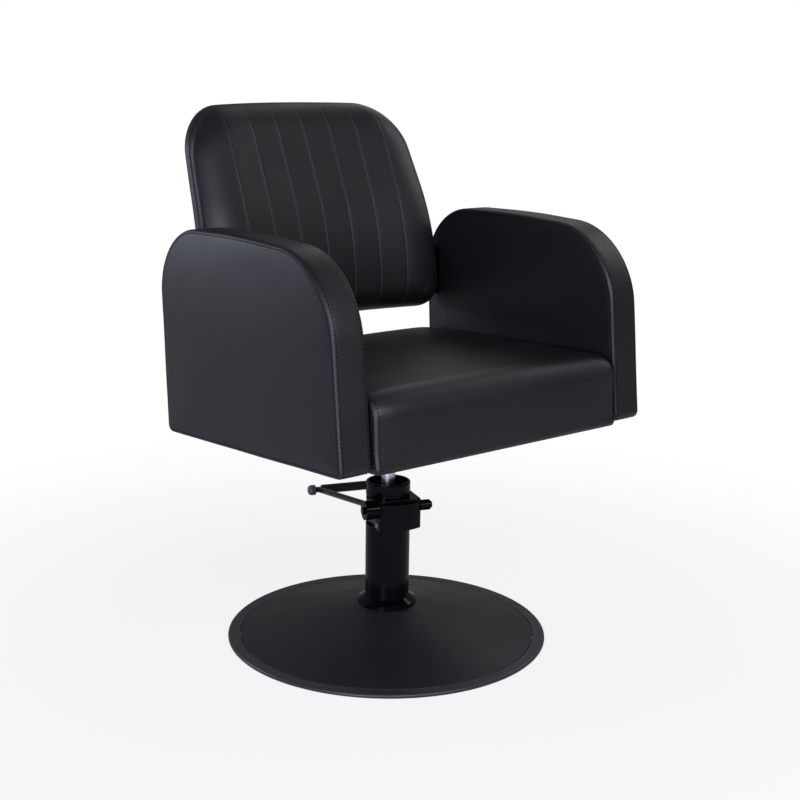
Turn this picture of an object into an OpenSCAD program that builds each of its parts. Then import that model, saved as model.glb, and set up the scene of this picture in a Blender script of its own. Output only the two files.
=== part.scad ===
/* [Base] */
// Diameter of the disc base
base_d = 580; // [480:10:700]
// Height of the trim ring that edges the base
trim_h = 8; // [7:0.5:14]
// Width of the trim ring, seen from above
trim_w = 22; // [14:1:34]
// Width of the rounded edge of the trim ring
trim_edge = 2.5; // [1:0.5:3]
// Thickness of the steel floor plate
plate_t = 6; // [4:0.5:6.5]
// Height of the conical cover's flat top above the floor
cover_h = 61; // [52:1:80]
// Thickness of the cover's sheet
cover_t = 2; // [1:0.5:3]
// Width of the rubber ring let into the underside
grip_w = 12; // [6:1:20]
// Thickness of the rubber ring let into the underside
grip_t = 2; // [1:0.5:3]
// Distance of the rubber ring from the plate's edge
grip_in = 14; // [8:1:30]
// Diameter of the collar that hides the hole in the cover
collar_d = 107; // [100:1:130]
// Height of the upright edge of that collar
collar_edge_h = 7; // [4:0.5:10]
// Height of the bevel above that edge
collar_bevel_h = 8; // [4:0.5:12]

/* [Column] */
// Outer diameter of the column
column_d = 80; // [70:1:90]
// Wall thickness of the column tube
column_wall = 3; // [2:0.5:5]
// Diameter of the flange at the column's foot
foot_d = 150; // [146:1:170]
// Thickness of that flange
foot_t = 8; // [6:0.5:10]
// Diameter of the circle of foot bolts
foot_pcd = 118; // [112:1:124]
// Thread diameter of the foot bolts
foot_bolt_d = 10; // [8:1:12]
// Height of the foot bolts' heads
foot_head_h = 6.4; // [5:0.2:8]
// Width of the foot bolts' heads across their corners
foot_head_d = 18.5; // [15:0.5:20]
// Metal left under each foot bolt
foot_bolt_floor = 1; // [0.5:0.1:2]
// Outer diameter of the pressure cylinder
cylinder_d = 36; // [34:0.5:42]
// Bore of the pressure cylinder
cylinder_bore = 30; // [28:0.5:32]
// Diameter of the piston rod
rod_d = 25; // [22:0.5:26]
// Height of the piston
piston_h = 20; // [14:1:30]
// Width of the groove for the piston's seal
seal_h = 5; // [3:0.5:7]
// Depth of the groove for the piston's seal
seal_depth = 2.5; // [1.5:0.1:3]
// Height of the spigot that the rod turns on inside the piston
spigot_h = 14; // [8:1:16]
// Diameter of that spigot
spigot_d = 14; // [10:0.5:16]
// Height of the piston above the column's flange, with the seat at its lowest
piston_low = 51; // [30:1:60]
// Travel of the seat down from the height drawn
lift_down = 45; // [20:1:48]
// Travel of the seat up from the height drawn
lift_up = 90; // [60:1:100]

/* [Pump head] */
// Turn of the pump about the column, from square with the seat
pump_turn = -19; // [-45:1:45]
// Height of the pump head's flat top above the floor
head_z = 267; // [255:1:275]
// Height of the pump head
head_h = 54; // [48:1:60]
// Depth of the ledge along the pump head's front
head_ledge_depth = 12; // [6:1:14]
// Fall of that ledge below the head's top
head_ledge_h = 6; // [2:1:6]
// Distance of the pump head's front from the column's axis
head_front = 58; // [56:1:66]
// Radius of the pump head's curved front
head_front_r = 74; // [60:1:120]
// Distance of the pump head's left side from the column's axis
head_side = 34; // [32:1:42]
// Distance of the pump head's right side from the column's axis
head_right = 45; // [38:0.5:47]
// Distance of the pump head's rear from the column's axis
head_rear = 42; // [40:1:50]
// Width of the bevels at the pump head's rear corners
head_bevel_w = 14; // [4:1:20]
// Depth of the bevels at the pump head's rear corners
head_bevel_depth = 20; // [4:1:24]
// Depth of the head's spigot inside the column
head_spigot_h = 8; // [5:1:14]
// Distance of the pump axle from the column's axis
axle_out = 41; // [38:0.5:44]
// Distance of the pump axle below the head's top
axle_sink = 14.5; // [14:0.5:17]
// Diameter of the pump axle
axle_d = 14; // [12:0.5:15]
// Reach of the axle's cam
cam_reach = 16; // [14:0.5:17]
// Diameter of the cam's rounded tip
cam_tip_d = 8; // [6:0.5:9]
// Angle of the cam below level, with the pedal up
cam_angle = 20; // [15:1:25]
// Thickness of the cam
cam_w = 8; // [6:0.5:10]
// Distance of the cam and plunger from the middle of the axle
cam_side = 12; // [8:0.5:16]
// Free space left round the cam in its pocket
cam_room = 1.5; // [1:0.1:2.5]
// Diameter of the plunger
plunger_d = 12; // [10:0.5:13]
// Length of the plunger
plunger_h = 18; // [14:0.5:20]
// Height of the plunger's spring, with the pedal up
spring_h = 12; // [10:0.5:12.5]
// Wall thickness of the sleeve that stands for the spring's wire
spring_wall = 2; // [1:0.1:3]
// Travel of the pedal, in degrees
pedal_swing = 22; // [10:1:22]
// Width of the valve screw's slot and of the recess above it
valve_w = 6; // [4:0.5:8]
// Height of the recess in the head's left side
valve_recess_h = 9; // [6:0.5:10]
// Depth of the recess in the head's left side
valve_recess_depth = 4; // [2:0.5:6]
// Diameter of the valve screw
valve_d = 9; // [6:0.5:10]
// Length of the valve screw in the head
valve_len = 14; // [8:1:20]
// Distance of the valve screw's head out of the left side
valve_proud = 1.5; // [0.5:0.5:3]
// Height of the valve screw above the head's underside
valve_up = 8; // [7:0.5:8.5]
// Distance of the valve screw behind the front of the left side
valve_back = 9; // [7:0.5:16]

/* [Top cap] */
// Height of the cap on the column above the pump head
cap_h = 25; // [22:1:44]
// Height of the cap's lower ring
cap_foot_h = 6; // [3:1:8]
// Width of the groove above that ring
cap_groove = 1.5; // [0.5:0.5:3]
// Wall thickness of the cap's rim
cap_wall = 4.5; // [3:0.5:7]
// Depth of the cup inside the rim
cap_cup = 12; // [6:1:16]
// Height of the rod's wiper ring
wiper_h = 4; // [2:0.5:6]
// Width of the rod's wiper ring
wiper_w = 5; // [3:0.5:7]
// Height of the wiper ring's lip above the cup's floor
wiper_lip = 1; // [0.5:0.5:3]

/* [Pedal] */
// Diameter of the pedal's steel rod
pedal_rod_d = 11; // [8:0.5:12]
// Distance between the middles of the pedal's two arms
pedal_w = 110; // [104:1:116]
// Distance of the pedal bar behind the column's axis
pedal_reach = 240; // [180:5:280]
// Height of the pedal bar above the floor
pedal_z = 210; // [190:1:215]
// Height of the pedal's left arm above the axle, at the large hub
pedal_arm_up = 11; // [8:0.5:12]
// Overall length of the pedal bar with its knobs
pedal_bar_len = 154; // [144:1:180]
// Diameter of the rubber sleeve on the pedal bar
sleeve_d = 17.5; // [14:0.5:24]
// Depth of the sleeve's long grooves
sleeve_groove = 1.2; // [0.5:0.1:1.5]
// Number of the sleeve's long grooves
sleeve_grooves = 12; // [8:1:16]
// Diameter of each end knob
knob_d = 20; // [15:0.5:24]
// Length of each end knob
knob_len = 14; // [8:0.5:14]
// Radius of the knobs' rounded ends
knob_round = 7; // [2:0.5:7]
// Diameter of the pedal's large hub
hub_d = 34; // [28:1:36]
// Length of the pedal's large hub
hub_len = 26; // [18:1:26]
// Diameter of the pedal's small hub
small_hub_d = 19; // [19:0.5:24]
// Length of the pedal's small hub
small_hub_len = 18; // [13:0.5:20]
// Diameter of the hub screws' heads
hub_screw_d = 13; // [9:0.5:15]
// Height of the hub screws' heads
hub_screw_h = 4; // [2:0.5:6]
// Thread diameter of the hub screws
hub_thread_d = 6; // [5:0.5:8]
// Length of the hub screws' threads
hub_thread_len = 16; // [10:1:20]

/* [Seat bracket] */
// Length of each side of the bracket's plate
bracket_side = 200; // [160:5:240]
// Thickness of the bracket's plate
bracket_t = 5; // [4:0.5:8]
// Distance between the bracket's bolts
bracket_pitch = 150; // [120:5:170]
// Height of the bracket's socket
socket_h = 50; // [40:1:54]
// Diameter of the socket at its top
socket_d = 56; // [48:1:70]
// Diameter of the socket at its foot
socket_foot_d = 46; // [40:1:56]
// Thickness of the bracket's ribs
rib_t = 6; // [4:0.5:10]
// Reach of the bracket's ribs from the axis
rib_reach = 84; // [60:1:90]
// Wall of the socket above the rod's end
socket_roof = 8; // [5:0.5:12]
// Thread diameter of the bracket's bolts
bracket_bolt_d = 8; // [6:1:10]
// Length of the bracket's bolts
bracket_bolt_len = 45; // [30:1:50]
// Height of the bracket bolts' heads
bracket_head_h = 5.3; // [4:0.1:8]
// Width of the bracket bolts' heads across their corners
bracket_head_d = 15; // [12:0.5:18]

/* [Seat] */
// Height of the seat's underside above the floor, at the column's axis
seat_z = 399; // [390:1:430]
// Tilt of the seat and its arms back from level, in degrees
seat_tilt = 3; // [0:0.5:5]
// Distance of the seat's front from the column's axis
seat_front = 303; // [260:1:320]
// Distance of the seat's rear from the column's axis
seat_rear = 202; // [190:1:225]
// Height of the seat's top at its front, above its underside
seat_front_h = 127; // [115:1:150]
// Height of the seat's top at its rear, above its underside
seat_rear_h = 130; // [115:1:140]
// Rise of the seat's crown in the middle
seat_crown = 9; // [4:0.5:16]
// Radius of the seat's rolled top edge
seat_roll = 30; // [18:1:36]
// Radius of the seat's upright corners
seat_corner = 14; // [8:1:24]
// Amount that the seat's sides draw in towards their foot
seat_draw = 3; // [1:0.5:5]
// Thickness of the cover over the seat frame's sides
seat_skirt = 7; // [6:0.5:10]
// Height of the seat frame's rails
rail_h = 58; // [44:1:62]
// Thickness of the seat frame's rails
rail_t = 22; // [16:1:30]
// Width of the seat frame's two cross rails
cross_w = 60; // [40:1:70]
// Thickness of the seat board
board_t = 12; // [9:0.5:15]
// Thickness of the dust cover under the seat
dust_t = 1.5; // [1:0.1:2]

/* [Arms] */
// Overall width of the chair at the arms' seams
chair_w = 660; // [600:5:720]
// Thickness of each arm at its seams
arm_t = 58; // [50:1:70]
// Height of the arms' underside above the seat's underside
arm_up = 3; // [0:1:12]
// Height of each arm at its front
arm_front_h = 332; // [300:1:350]
// Height of each arm at its rear
arm_rear_h = 360; // [300:1:370]
// Distance of the arms' front foot from the column's axis
arm_front = 295; // [260:1:310]
// Lean of the arms' front edge, from its foot to its top
arm_front_lean = 17; // [0:1:40]
// Distance of the arms' rear edge from the column's axis
arm_rear = 205; // [190:1:220]
// Radius of the arms' top front corner
arm_front_r = 147; // [100:1:180]
// Radius of the arms' top rear corner
arm_rear_r = 115; // [60:1:130]
// Radius of the arms' two lower corners
arm_foot_r = 14; // [6:1:30]
// Thickness of the padded band round each arm's edge
band_t = 7; // [4:0.5:10]
// Thickness of each arm's wooden core
core_t = 18; // [12:1:24]
// Rise of the arms' outer panels in the middle
arm_crown = 6; // [2:0.5:10]
// Rise of the arms' inner panels in the middle
arm_inner_crown = 2; // [1:0.5:2.5]
// Width of the fall from a panel to its seam
seam_fall = 3; // [1:0.5:5]
// Thread diameter of the arm bolts
arm_bolt_d = 8; // [6:1:10]
// Distance between the arm bolts
arm_bolt_pitch = 150; // [100:5:170]
// Length of the arm bolts beyond their head
arm_bolt_len = 62; // [56:1:66]
// Height of the arm bolts' heads
arm_bolt_head_h = 4.5; // [3:0.5:6]
// Diameter of the arm bolts' heads
arm_bolt_head_d = 18; // [12:1:22]

/* [Back] */
// Height of the gap between the seat's rear top and the back cushion
back_gap = 42; // [20:1:60]
// Height of the back cushion
back_h = 387; // [340:1:430]
// Fall of the back's top edge from its middle to its corners
back_arch = 6; // [0:0.5:12]
// Free space between the back cushion's foot and each arm's inner seam
back_side_room = 9; // [8:0.5:14]
// Amount that each side of the back cushion draws in from its foot to its top
back_taper = 31; // [10:1:50]
// Swell of the back's sides between its foot and its top
back_side_swell = 8; // [0:0.5:9]
// Distance of the back cushion's face from the column's axis, at its foot
back_out = 176; // [165:1:180]
// Lean of the straight upper part of the back, in degrees
back_lean = 21.5; // [12:0.5:26]
// Radius of the bend in the back's profile
back_bend_r = 560; // [400:10:700]
// Height of the upright part of the back below the bend
back_upright = 30; // [15:1:60]
// Radius of the back's curve from side to side
back_curve_r = 1000; // [800:10:2000]
// Radius of the back's upper corners, seen from the front
back_top_corner = 80; // [50:1:110]
// Radius of the back's lower corners, seen from the front
back_foot_corner = 46; // [30:1:70]
// Thickness of the back's front cushion
back_t = 46; // [36:1:60]
// Width of the roll at the cushion's edges
back_roll = 42; // [30:1:50]
// Rise of the back cushion's crown in the middle
back_crown = 4; // [0:0.5:10]
// Number of seams sewn down the back's face
back_seams = 7; // [5:2:9]
// Distance between those seams
back_seam_pitch = 57.8; // [30:0.2:58]
// Depth of the sewn seams
back_seam_depth = 2.5; // [1:0.5:5]
// Width of the fall to each sewn seam
back_seam_w = 9; // [5:0.5:12]
// Thickness of the back's wooden board
back_board_t = 15; // [12:0.5:18]
// Distance of the board's edge inside the back's edge
back_board_in = 14; // [10:1:24]
// Thickness of the back's rear panel behind its board
back_shell_t = 9; // [6:0.5:14]
// Rise of the rear panel's crown in the middle
back_shell_crown = 5; // [2:0.5:10]
// Width of the roll at the rear panel's edges
back_shell_roll = 20; // [12:1:30]
// Thickness of the brackets between the back and the arms
back_bracket_t = 4; // [3:0.5:5]
// Height of those brackets
back_bracket_h = 90; // [80:1:100]
// Depth of those brackets from front to rear
back_bracket_w = 36; // [30:1:40]
// Height of the brackets' foot above the back cushion's foot
back_bracket_up = 22; // [18:1:34]
// Thread diameter of the brackets' bolts
back_bolt_d = 8; // [6:1:8]
// Length of the brackets' bolts on each side of the bracket
back_bolt_len = 34; // [28:1:36]
// Distance of the brackets' bolts from their ends
back_bolt_in = 16; // [12:1:20]
// Diameter of the spacers between the brackets and the back
back_spacer_d = 16; // [14:1:22]

/* [Fits] */
// Gap between pieces that lie side by side
gap = 0.3; // [0.2:0.05:0.6]
// Gap between the curved layers of the back
layer_gap = 0.8; // [0.7:0.05:0.9]
// Radial clearance of pieces that turn or slide in each other
running = 0.05; // [0.03:0.01:0.1]
// Overrun of a cut past the face that it opens
over = 1; // [0.5:0.5:3]

/* [Hidden] */
$fn = 72;

// Steps in each rounded corner of the arms, and of the seat
arm_steps = 12;
seat_steps = 6;
// Steps in each rolled edge of a cushion
roll_steps = 4;

base_r = base_d / 2;
plate_r = base_r - trim_w;
column_r = column_d / 2;
rod_r = rod_d / 2;
bore_r = cylinder_bore / 2;
foot_top_z = plate_t + foot_t;
piston_z = foot_top_z + piston_low + lift_down;
axle_z = head_z - axle_sink;
cap_top_z = head_z + cap_h;
cup_z = cap_top_z - cap_cup;
rod_foot_z = piston_z + piston_h;
arm_z = seat_z + arm_up;
arm_x = chair_w / 2 - arm_t;
seat_half_w = arm_x - arm_inner_crown - gap;
frame_z = seat_z + dust_t;
frame_half_w = seat_half_w - seat_draw - seat_skirt;
frame_front = seat_front - seat_draw - seat_skirt;
frame_rear = seat_rear - seat_draw - seat_skirt;
board_z = frame_z + rail_h;
bracket_z = seat_z - gap - bracket_t;
socket_z = bracket_z - socket_h;
back_z = seat_z - seat_rear * sin(seat_tilt) + seat_rear_h * cos(seat_tilt) + back_gap;
back_w = 2 * (arm_x - back_side_room);
back_top_w = back_w - 2 * back_taper;

// Points of a corner at p between a and b, rounded to radius r in a number of steps
function corner(a, p, b, r, steps) =
    let (
        u = (a - p) / norm(a - p),
        v = (b - p) / norm(b - p),
        half = acos(u * v) / 2,
        c = p + (u + v) / norm(u + v) * r / sin(half),
        s = p + u * r / tan(half) - c,
        e = p + v * r / tan(half) - c,
        from = atan2(s[1], s[0]),
        turn = (atan2(e[1], e[0]) - from + 540) % 360 - 180
    )
    [for (i = [0:steps]) c + r * [cos(from + turn * i / steps), sin(from + turn * i / steps)]];

// A closed outline with each corner rounded to its own radius
function rounded(points, radii, steps) =
    let (n = len(points))
    [for (i = [0:n - 1]) each corner(points[(i + n - 1) % n], points[i], points[(i + 1) % n], radii[i], steps)];

// The same outline moved in by a distance along its normals, for an outline that turns left
function inset(path, d) =
    let (n = len(path))
    [for (i = [0:n - 1])
        let (t = path[(i + 1) % n] - path[(i + n - 1) % n])
        path[i] + d * [-t[1], t[0]] / norm(t)];

function middle(ring) = [for (k = [0:2]) [for (p = ring) p[k]] * [for (p = ring) 1] / len(ring)];

// A closed solid skinned over rings of points, each ring counter-clockwise about the way they advance
module skin(rings) {
    n = len(rings[0]);
    m = len(rings);
    first = m * n;
    points = [for (r = rings) each r, middle(rings[0]), middle(rings[m - 1])];
    polyhedron(points, [
        for (i = [0:n - 1]) let (j = (i + 1) % n) each [
            [first, i, j],
            [first + 1, (m - 1) * n + j, (m - 1) * n + i],
            for (k = [0:m - 2]) each [
                [k * n + i, (k + 1) * n + i, (k + 1) * n + j],
                [k * n + i, (k + 1) * n + j, k * n + j]
            ]
        ]
    ]);
}

// A closed solid between two grids of points, front[row][column] and rear[row][column]
module slab(front, rear) {
    rows = len(front);
    cols = len(front[0]);
    half = rows * cols;
    points = [for (row = front) each row, for (row = rear) each row];
    function f(r, c) = r * cols + c;
    function b(r, c) = half + r * cols + c;
    top = rows - 1;
    end = cols - 1;
    polyhedron(points, [
        for (r = [0:top - 1], c = [0:end - 1]) each [
            [f(r, c), f(r + 1, c), f(r + 1, c + 1)],
            [f(r, c), f(r + 1, c + 1), f(r, c + 1)],
            [b(r, c), b(r + 1, c + 1), b(r + 1, c)],
            [b(r, c), b(r, c + 1), b(r + 1, c + 1)]
        ],
        for (c = [0:end - 1]) each [
            [f(0, c), f(0, c + 1), b(0, c + 1)],
            [f(0, c), b(0, c + 1), b(0, c)],
            [f(top, c + 1), f(top, c), b(top, c)],
            [f(top, c + 1), b(top, c), b(top, c + 1)]
        ],
        for (r = [0:top - 1]) each [
            [f(r + 1, 0), f(r, 0), b(r, 0)],
            [f(r + 1, 0), b(r, 0), b(r + 1, 0)],
            [f(r, end), f(r + 1, end), b(r + 1, end)],
            [f(r, end), b(r + 1, end), b(r, end)]
        ]
    ]);
}

// Turns children from the pump's frame, with the axle along X and the pedal towards +Y, to the seat's
module pump_frame() {
    rotate([0, 0, pump_turn]) children();
}

// Tilts children back with the seat, about the point where its underside crosses the column's axis
module tilted() {
    translate([0, 0, seat_z]) rotate([-seat_tilt, 0, 0]) translate([0, 0, -seat_z]) children();
}

// A cylinder along X from x0 to x1
module bar_x(x0, x1, d) {
    translate([x0, 0, 0]) rotate([0, 90, 0]) cylinder(h = x1 - x0, d = d);
}

// Steel disc that rests on the floor, with a groove for its rubber ring and holes for the foot bolts
module base_plate() {
    color("dimgray") difference() {
        cylinder(h = plate_t, r = plate_r);
        translate([0, 0, -over]) difference() {
            cylinder(h = grip_t + over, r = plate_r - grip_in);
            translate([0, 0, -over]) cylinder(h = grip_t + 3 * over, r = plate_r - grip_in - grip_w);
        }
        foot_bolt_places() translate([0, 0, foot_bolt_floor])
            cylinder(h = plate_t, d = foot_bolt_d + 2 * running);
    }
}

// Rubber ring, flush with the plate's underside
module grip_ring() {
    color("#202020") difference() {
        cylinder(h = grip_t - gap, r = plate_r - grip_in - gap);
        translate([0, 0, -over]) cylinder(h = grip_t + 2 * over, r = plate_r - grip_in - grip_w + gap);
    }
}

// Ring round the edge of the base, with a rounded outer edge
module trim_ring() {
    color("#2b2b2d") rotate_extrude() polygon([
        [plate_r + gap, 0], [base_r - trim_edge, 0], [base_r, trim_edge],
        [base_r, trim_h - trim_edge], [base_r - trim_edge, trim_h], [plate_r + gap, trim_h]
    ]);
}

// Conical sheet cover between the trim ring and the column
module base_cover() {
    color("#19191b") rotate_extrude() polygon([
        [plate_r - gap, plate_t], [plate_r - gap, trim_h],
        [collar_d / 2 + cover_t, cover_h], [column_r + gap, cover_h],
        [column_r + gap, cover_h - cover_t], [collar_d / 2 + cover_t, cover_h - cover_t],
        [plate_r - gap - 4 * cover_t, plate_t]
    ]);
}

// Bevelled collar round the foot of the column
module foot_collar() {
    color("#0d0d0e") rotate_extrude() polygon([
        [column_r + gap, cover_h], [collar_d / 2, cover_h], [collar_d / 2, cover_h + collar_edge_h],
        [column_r + 2 * gap, cover_h + collar_edge_h + collar_bevel_h],
        [column_r + gap, cover_h + collar_edge_h + collar_bevel_h]
    ]);
}

// Outer tube of the pump with its welded foot flange
module column_tube() {
    color("#0d0d0e") difference() {
        rotate_extrude() polygon([
            [0, plate_t], [foot_d / 2, plate_t], [foot_d / 2, foot_top_z], [column_r, foot_top_z],
            [column_r, head_z - head_h], [column_r - column_wall, head_z - head_h],
            [column_r - column_wall, foot_top_z], [0, foot_top_z]
        ]);
        foot_bolt_places() translate([0, 0, plate_t - over])
            cylinder(h = foot_t + 2 * over, d = foot_bolt_d + 2 * running);
    }
}

// Four places round the column's foot
module foot_bolt_places() {
    for (a = [45:90:315]) rotate([0, 0, a]) translate([foot_pcd / 2, 0, 0]) children();
}

// Bolts that hold the column to the floor plate
module foot_bolts() {
    color("silver") foot_bolt_places() {
        translate([0, 0, foot_bolt_floor]) cylinder(h = foot_top_z - foot_bolt_floor, d = foot_bolt_d);
        translate([0, 0, foot_top_z]) cylinder(h = foot_head_h, d = foot_head_d, $fn = 6);
    }
}

// Inner cylinder that the piston slides in, with a guide for the rod above the piston's highest place
module pressure_cylinder() {
    color("lightgray") difference() {
        translate([0, 0, foot_top_z]) cylinder(h = head_z - foot_top_z, d = cylinder_d);
        translate([0, 0, foot_top_z - over]) cylinder(h = rod_foot_z + lift_up + gap - foot_top_z + over, r = bore_r);
        cylinder(h = head_z + over, r = rod_r + running);
    }
}

// The cam and its tip, down and back from the axle's middle
module cam() {
    rotate([-cam_angle, 0, 0]) translate([cam_side - cam_w / 2, 0, 0]) {
        translate([0, 0, -cam_tip_d / 2]) cube([cam_w, cam_reach, cam_tip_d]);
        translate([0, cam_reach, 0]) bar_x(0, cam_w, cam_tip_d);
    }
}

// Outline of the pocket that the cam swings in, as points behind and above the axle's middle
cam_steps = 4;
cam_pocket = let (
        m = cam_tip_d / 2 + cam_room,
        r = cam_reach + m,
        low = cam_angle + pedal_swing
    )
    [
        m * [sin(cam_angle), cos(cam_angle)],
        m * [-sin(low), -cos(low)],
        r * [cos(low), -sin(low)] - m * [sin(low), cos(low)],
        for (i = [cam_steps:-1:0]) let (a = cam_angle + pedal_swing * i / cam_steps) r * [cos(a), -sin(a)],
        r * [cos(cam_angle), -sin(cam_angle)] + m * [sin(cam_angle), cos(cam_angle)]
    ];

// Places its children at the axle, in the pump's frame
module at_axle() {
    translate([0, -axle_out, axle_z]) children();
}

plunger_y = -axle_out + cam_reach * cos(cam_angle + pedal_swing / 2);
plunger_top_z = axle_z - cam_reach * sin(cam_angle) - cam_tip_d / 2 - gap;
plunger_foot_z = plunger_top_z - plunger_h;
spring_z = plunger_foot_z - spring_h;

head_mid = (head_right - head_side) / 2;
head_corner_y = head_front_r - head_front - sqrt(pow(head_front_r, 2) - pow(head_mid + head_side, 2));

// Cast head with a curved front, the axle's bore, the cam's pocket and the plunger's bore
module pump_head() {
    color("#131314") pump_frame() difference() {
        union() {
            translate([0, 0, head_z - head_h]) intersection() {
                translate([head_mid, head_front_r - head_front, 0]) cylinder(h = head_h, r = head_front_r);
                linear_extrude(head_h) polygon([
                    [-head_side, -head_front - over], [head_right, -head_front - over],
                    [head_right, head_rear - head_bevel_depth], [head_right - head_bevel_w, head_rear],
                    [head_bevel_w - head_side, head_rear], [-head_side, head_rear - head_bevel_depth]
                ]);
            }
            translate([0, 0, head_z - head_h - head_spigot_h])
                cylinder(h = head_spigot_h, r = column_r - column_wall - gap);
        }
        translate([0, 0, head_z - 2 * head_h]) cylinder(h = 3 * head_h, d = cylinder_d + 2 * running);
        translate([-head_side - over, -head_front - over, head_z - head_ledge_h])
            cube([head_side + head_right + 2 * over, head_ledge_depth + over, head_ledge_h + over]);
        at_axle() bar_x(-pedal_w, pedal_w, axle_d + 2 * running);
        at_axle() translate([cam_side - cam_w / 2 - cam_room, 0, 0])
            rotate([90, 0, 90]) linear_extrude(cam_w + 2 * cam_room) polygon(cam_pocket);
        translate([cam_side, plunger_y, spring_z]) cylinder(h = head_h, d = plunger_d + 2 * running);
        translate([-head_side - over, valve_y - valve_w / 2, axle_z - hub_d / 2 - valve_recess_h])
            cube([valve_recess_depth + over, valve_w, valve_recess_h]);
        translate([0, valve_y, head_z - head_h + valve_up])
            bar_x(-head_side - over, -head_side + valve_len, valve_d + 2 * running);
    }
}

valve_y = head_corner_y + valve_back;

// Release valve's screw, with a slot across its head
module valve_screw() {
    color("silver") pump_frame() translate([-head_side, valve_y, head_z - head_h + valve_up]) difference() {
        bar_x(-valve_proud, valve_len - gap, valve_d);
        translate([-valve_proud - over, -valve_d, -valve_proud / 2])
            cube([valve_proud + over, 2 * valve_d, valve_proud]);
    }
}

// Return spring under the plunger, as a sleeve of its outer size
module plunger_spring() {
    color("silver") pump_frame() translate([cam_side, plunger_y, spring_z]) difference() {
        cylinder(h = spring_h, d = plunger_d - 2 * gap);
        translate([0, 0, -over]) cylinder(h = spring_h + 2 * over, d = plunger_d - 2 * gap - 2 * spring_wall);
    }
}

// Pump plunger under the cam
module plunger() {
    color("lightgray") pump_frame() translate([cam_side, plunger_y, plunger_foot_z])
        cylinder(h = plunger_h, d = plunger_d);
}

// Cup-shaped cap that closes the cylinder and guides the rod
module top_cap() {
    color("#0d0d0e") rotate_extrude() polygon([
        [rod_r + running, head_z], [column_r, head_z], [column_r, head_z + cap_foot_h],
        [column_r - cap_groove, head_z + cap_foot_h], [column_r - cap_groove, head_z + cap_foot_h + cap_groove],
        [column_r, head_z + cap_foot_h + cap_groove], [column_r, cap_top_z - cap_groove],
        [column_r - cap_groove, cap_top_z], [column_r - cap_wall, cap_top_z], [column_r - cap_wall, cup_z],
        [rod_r + wiper_w, cup_z], [rod_r + wiper_w, cup_z - wiper_h], [rod_r + running, cup_z - wiper_h]
    ]);
}

// Rubber ring that wipes the rod
module wiper_ring() {
    color("#202020") translate([0, 0, cup_z - wiper_h]) difference() {
        cylinder(h = wiper_h + wiper_lip, r = rod_r + wiper_w - gap);
        translate([0, 0, -over]) cylinder(h = wiper_h + wiper_lip + 2 * over, r = rod_r + 2 * running);
    }
}

// Piston, with a seal groove outside and a bore for the rod's spigot
module piston() {
    color("gray") translate([0, 0, piston_z]) difference() {
        cylinder(h = piston_h, r = bore_r - running);
        translate([0, 0, (piston_h - seal_h) / 2]) difference() {
            cylinder(h = seal_h, r = bore_r + over);
            translate([0, 0, -over]) cylinder(h = seal_h + 2 * over, r = bore_r - seal_depth);
        }
        translate([0, 0, piston_h - spigot_h - gap]) cylinder(h = piston_h, d = spigot_d + 2 * running);
    }
}

// Seal ring in the piston's groove
module piston_seal() {
    color("#202020") translate([0, 0, piston_z + (piston_h - seal_h) / 2 + running]) difference() {
        cylinder(h = seal_h - 2 * running, r = bore_r - running);
        translate([0, 0, -over]) cylinder(h = seal_h + 2 * over, r = bore_r - seal_depth + running);
    }
}

// Polished rod that lifts and turns the seat
module piston_rod() {
    color("gainsboro") {
        translate([0, 0, rod_foot_z - spigot_h]) cylinder(h = spigot_h + over, d = spigot_d);
        translate([0, 0, rod_foot_z]) cylinder(h = bracket_z + bracket_t - socket_roof - rod_foot_z, d = rod_d);
    }
}

// Axle of the pedal with its cam
module pump_axle() {
    color("#131314") pump_frame() at_axle() difference() {
        union() {
            bar_x(axle_left, axle_right, axle_d);
            cam();
        }
        bar_x(axle_left - over, axle_left + hub_thread_len + gap, hub_thread_d + 2 * running);
        bar_x(axle_right - hub_thread_len - gap, axle_right + over, hub_thread_d + 2 * running);
    }
}

axle_left = -head_side - hub_len - gap;
axle_right = head_right + small_hub_len + gap;
arm_half = pedal_w / 2;

// A straight round rod between two points of the pump's frame
module rod_between(a, b, d) {
    v = b - a;
    flat = norm([v[0], v[1]]);
    translate(a) rotate([0, atan2(flat, v[2]), atan2(v[1], v[0])]) cylinder(h = norm(v), d = d);
}

// Two hubs, two arms and the bar across their ends
module pedal_frame() {
    color("#131314") pump_frame() {
        difference() {
            union() {
                at_axle() bar_x(-head_side - gap - hub_len, -head_side - gap, hub_d);
                at_axle() bar_x(head_right + gap, head_right + gap + small_hub_len, small_hub_d);
                for (side = [-1, 1])
                    rod_between([side * arm_half, -axle_out, axle_z + (side < 0 ? pedal_arm_up : 0)],
                        [side * arm_half, pedal_reach, pedal_z], pedal_rod_d);
                translate([0, pedal_reach, pedal_z])
                    bar_x(-pedal_bar_len / 2 + knob_len / 2, pedal_bar_len / 2 - knob_len / 2, pedal_rod_d);
            }
            at_axle() bar_x(-pedal_w, pedal_w, axle_d + 2 * running);
        }
    }
}

// Rubber sleeve with long grooves on the pedal bar, between the arms
module pedal_sleeve() {
    sleeve_len = pedal_w - pedal_rod_d - 2 * gap;
    color("#202020") pump_frame() translate([-sleeve_len / 2, pedal_reach, pedal_z]) rotate([0, 90, 0]) difference() {
        cylinder(h = sleeve_len, d = sleeve_d);
        translate([0, 0, -over]) cylinder(h = sleeve_len + 2 * over, d = pedal_rod_d + 2 * running);
        for (a = [0:360 / sleeve_grooves:359]) rotate([0, 0, a])
            translate([sleeve_d / 2, 0, -over]) cylinder(h = sleeve_len + 2 * over, r = sleeve_groove);
    }
}

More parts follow.
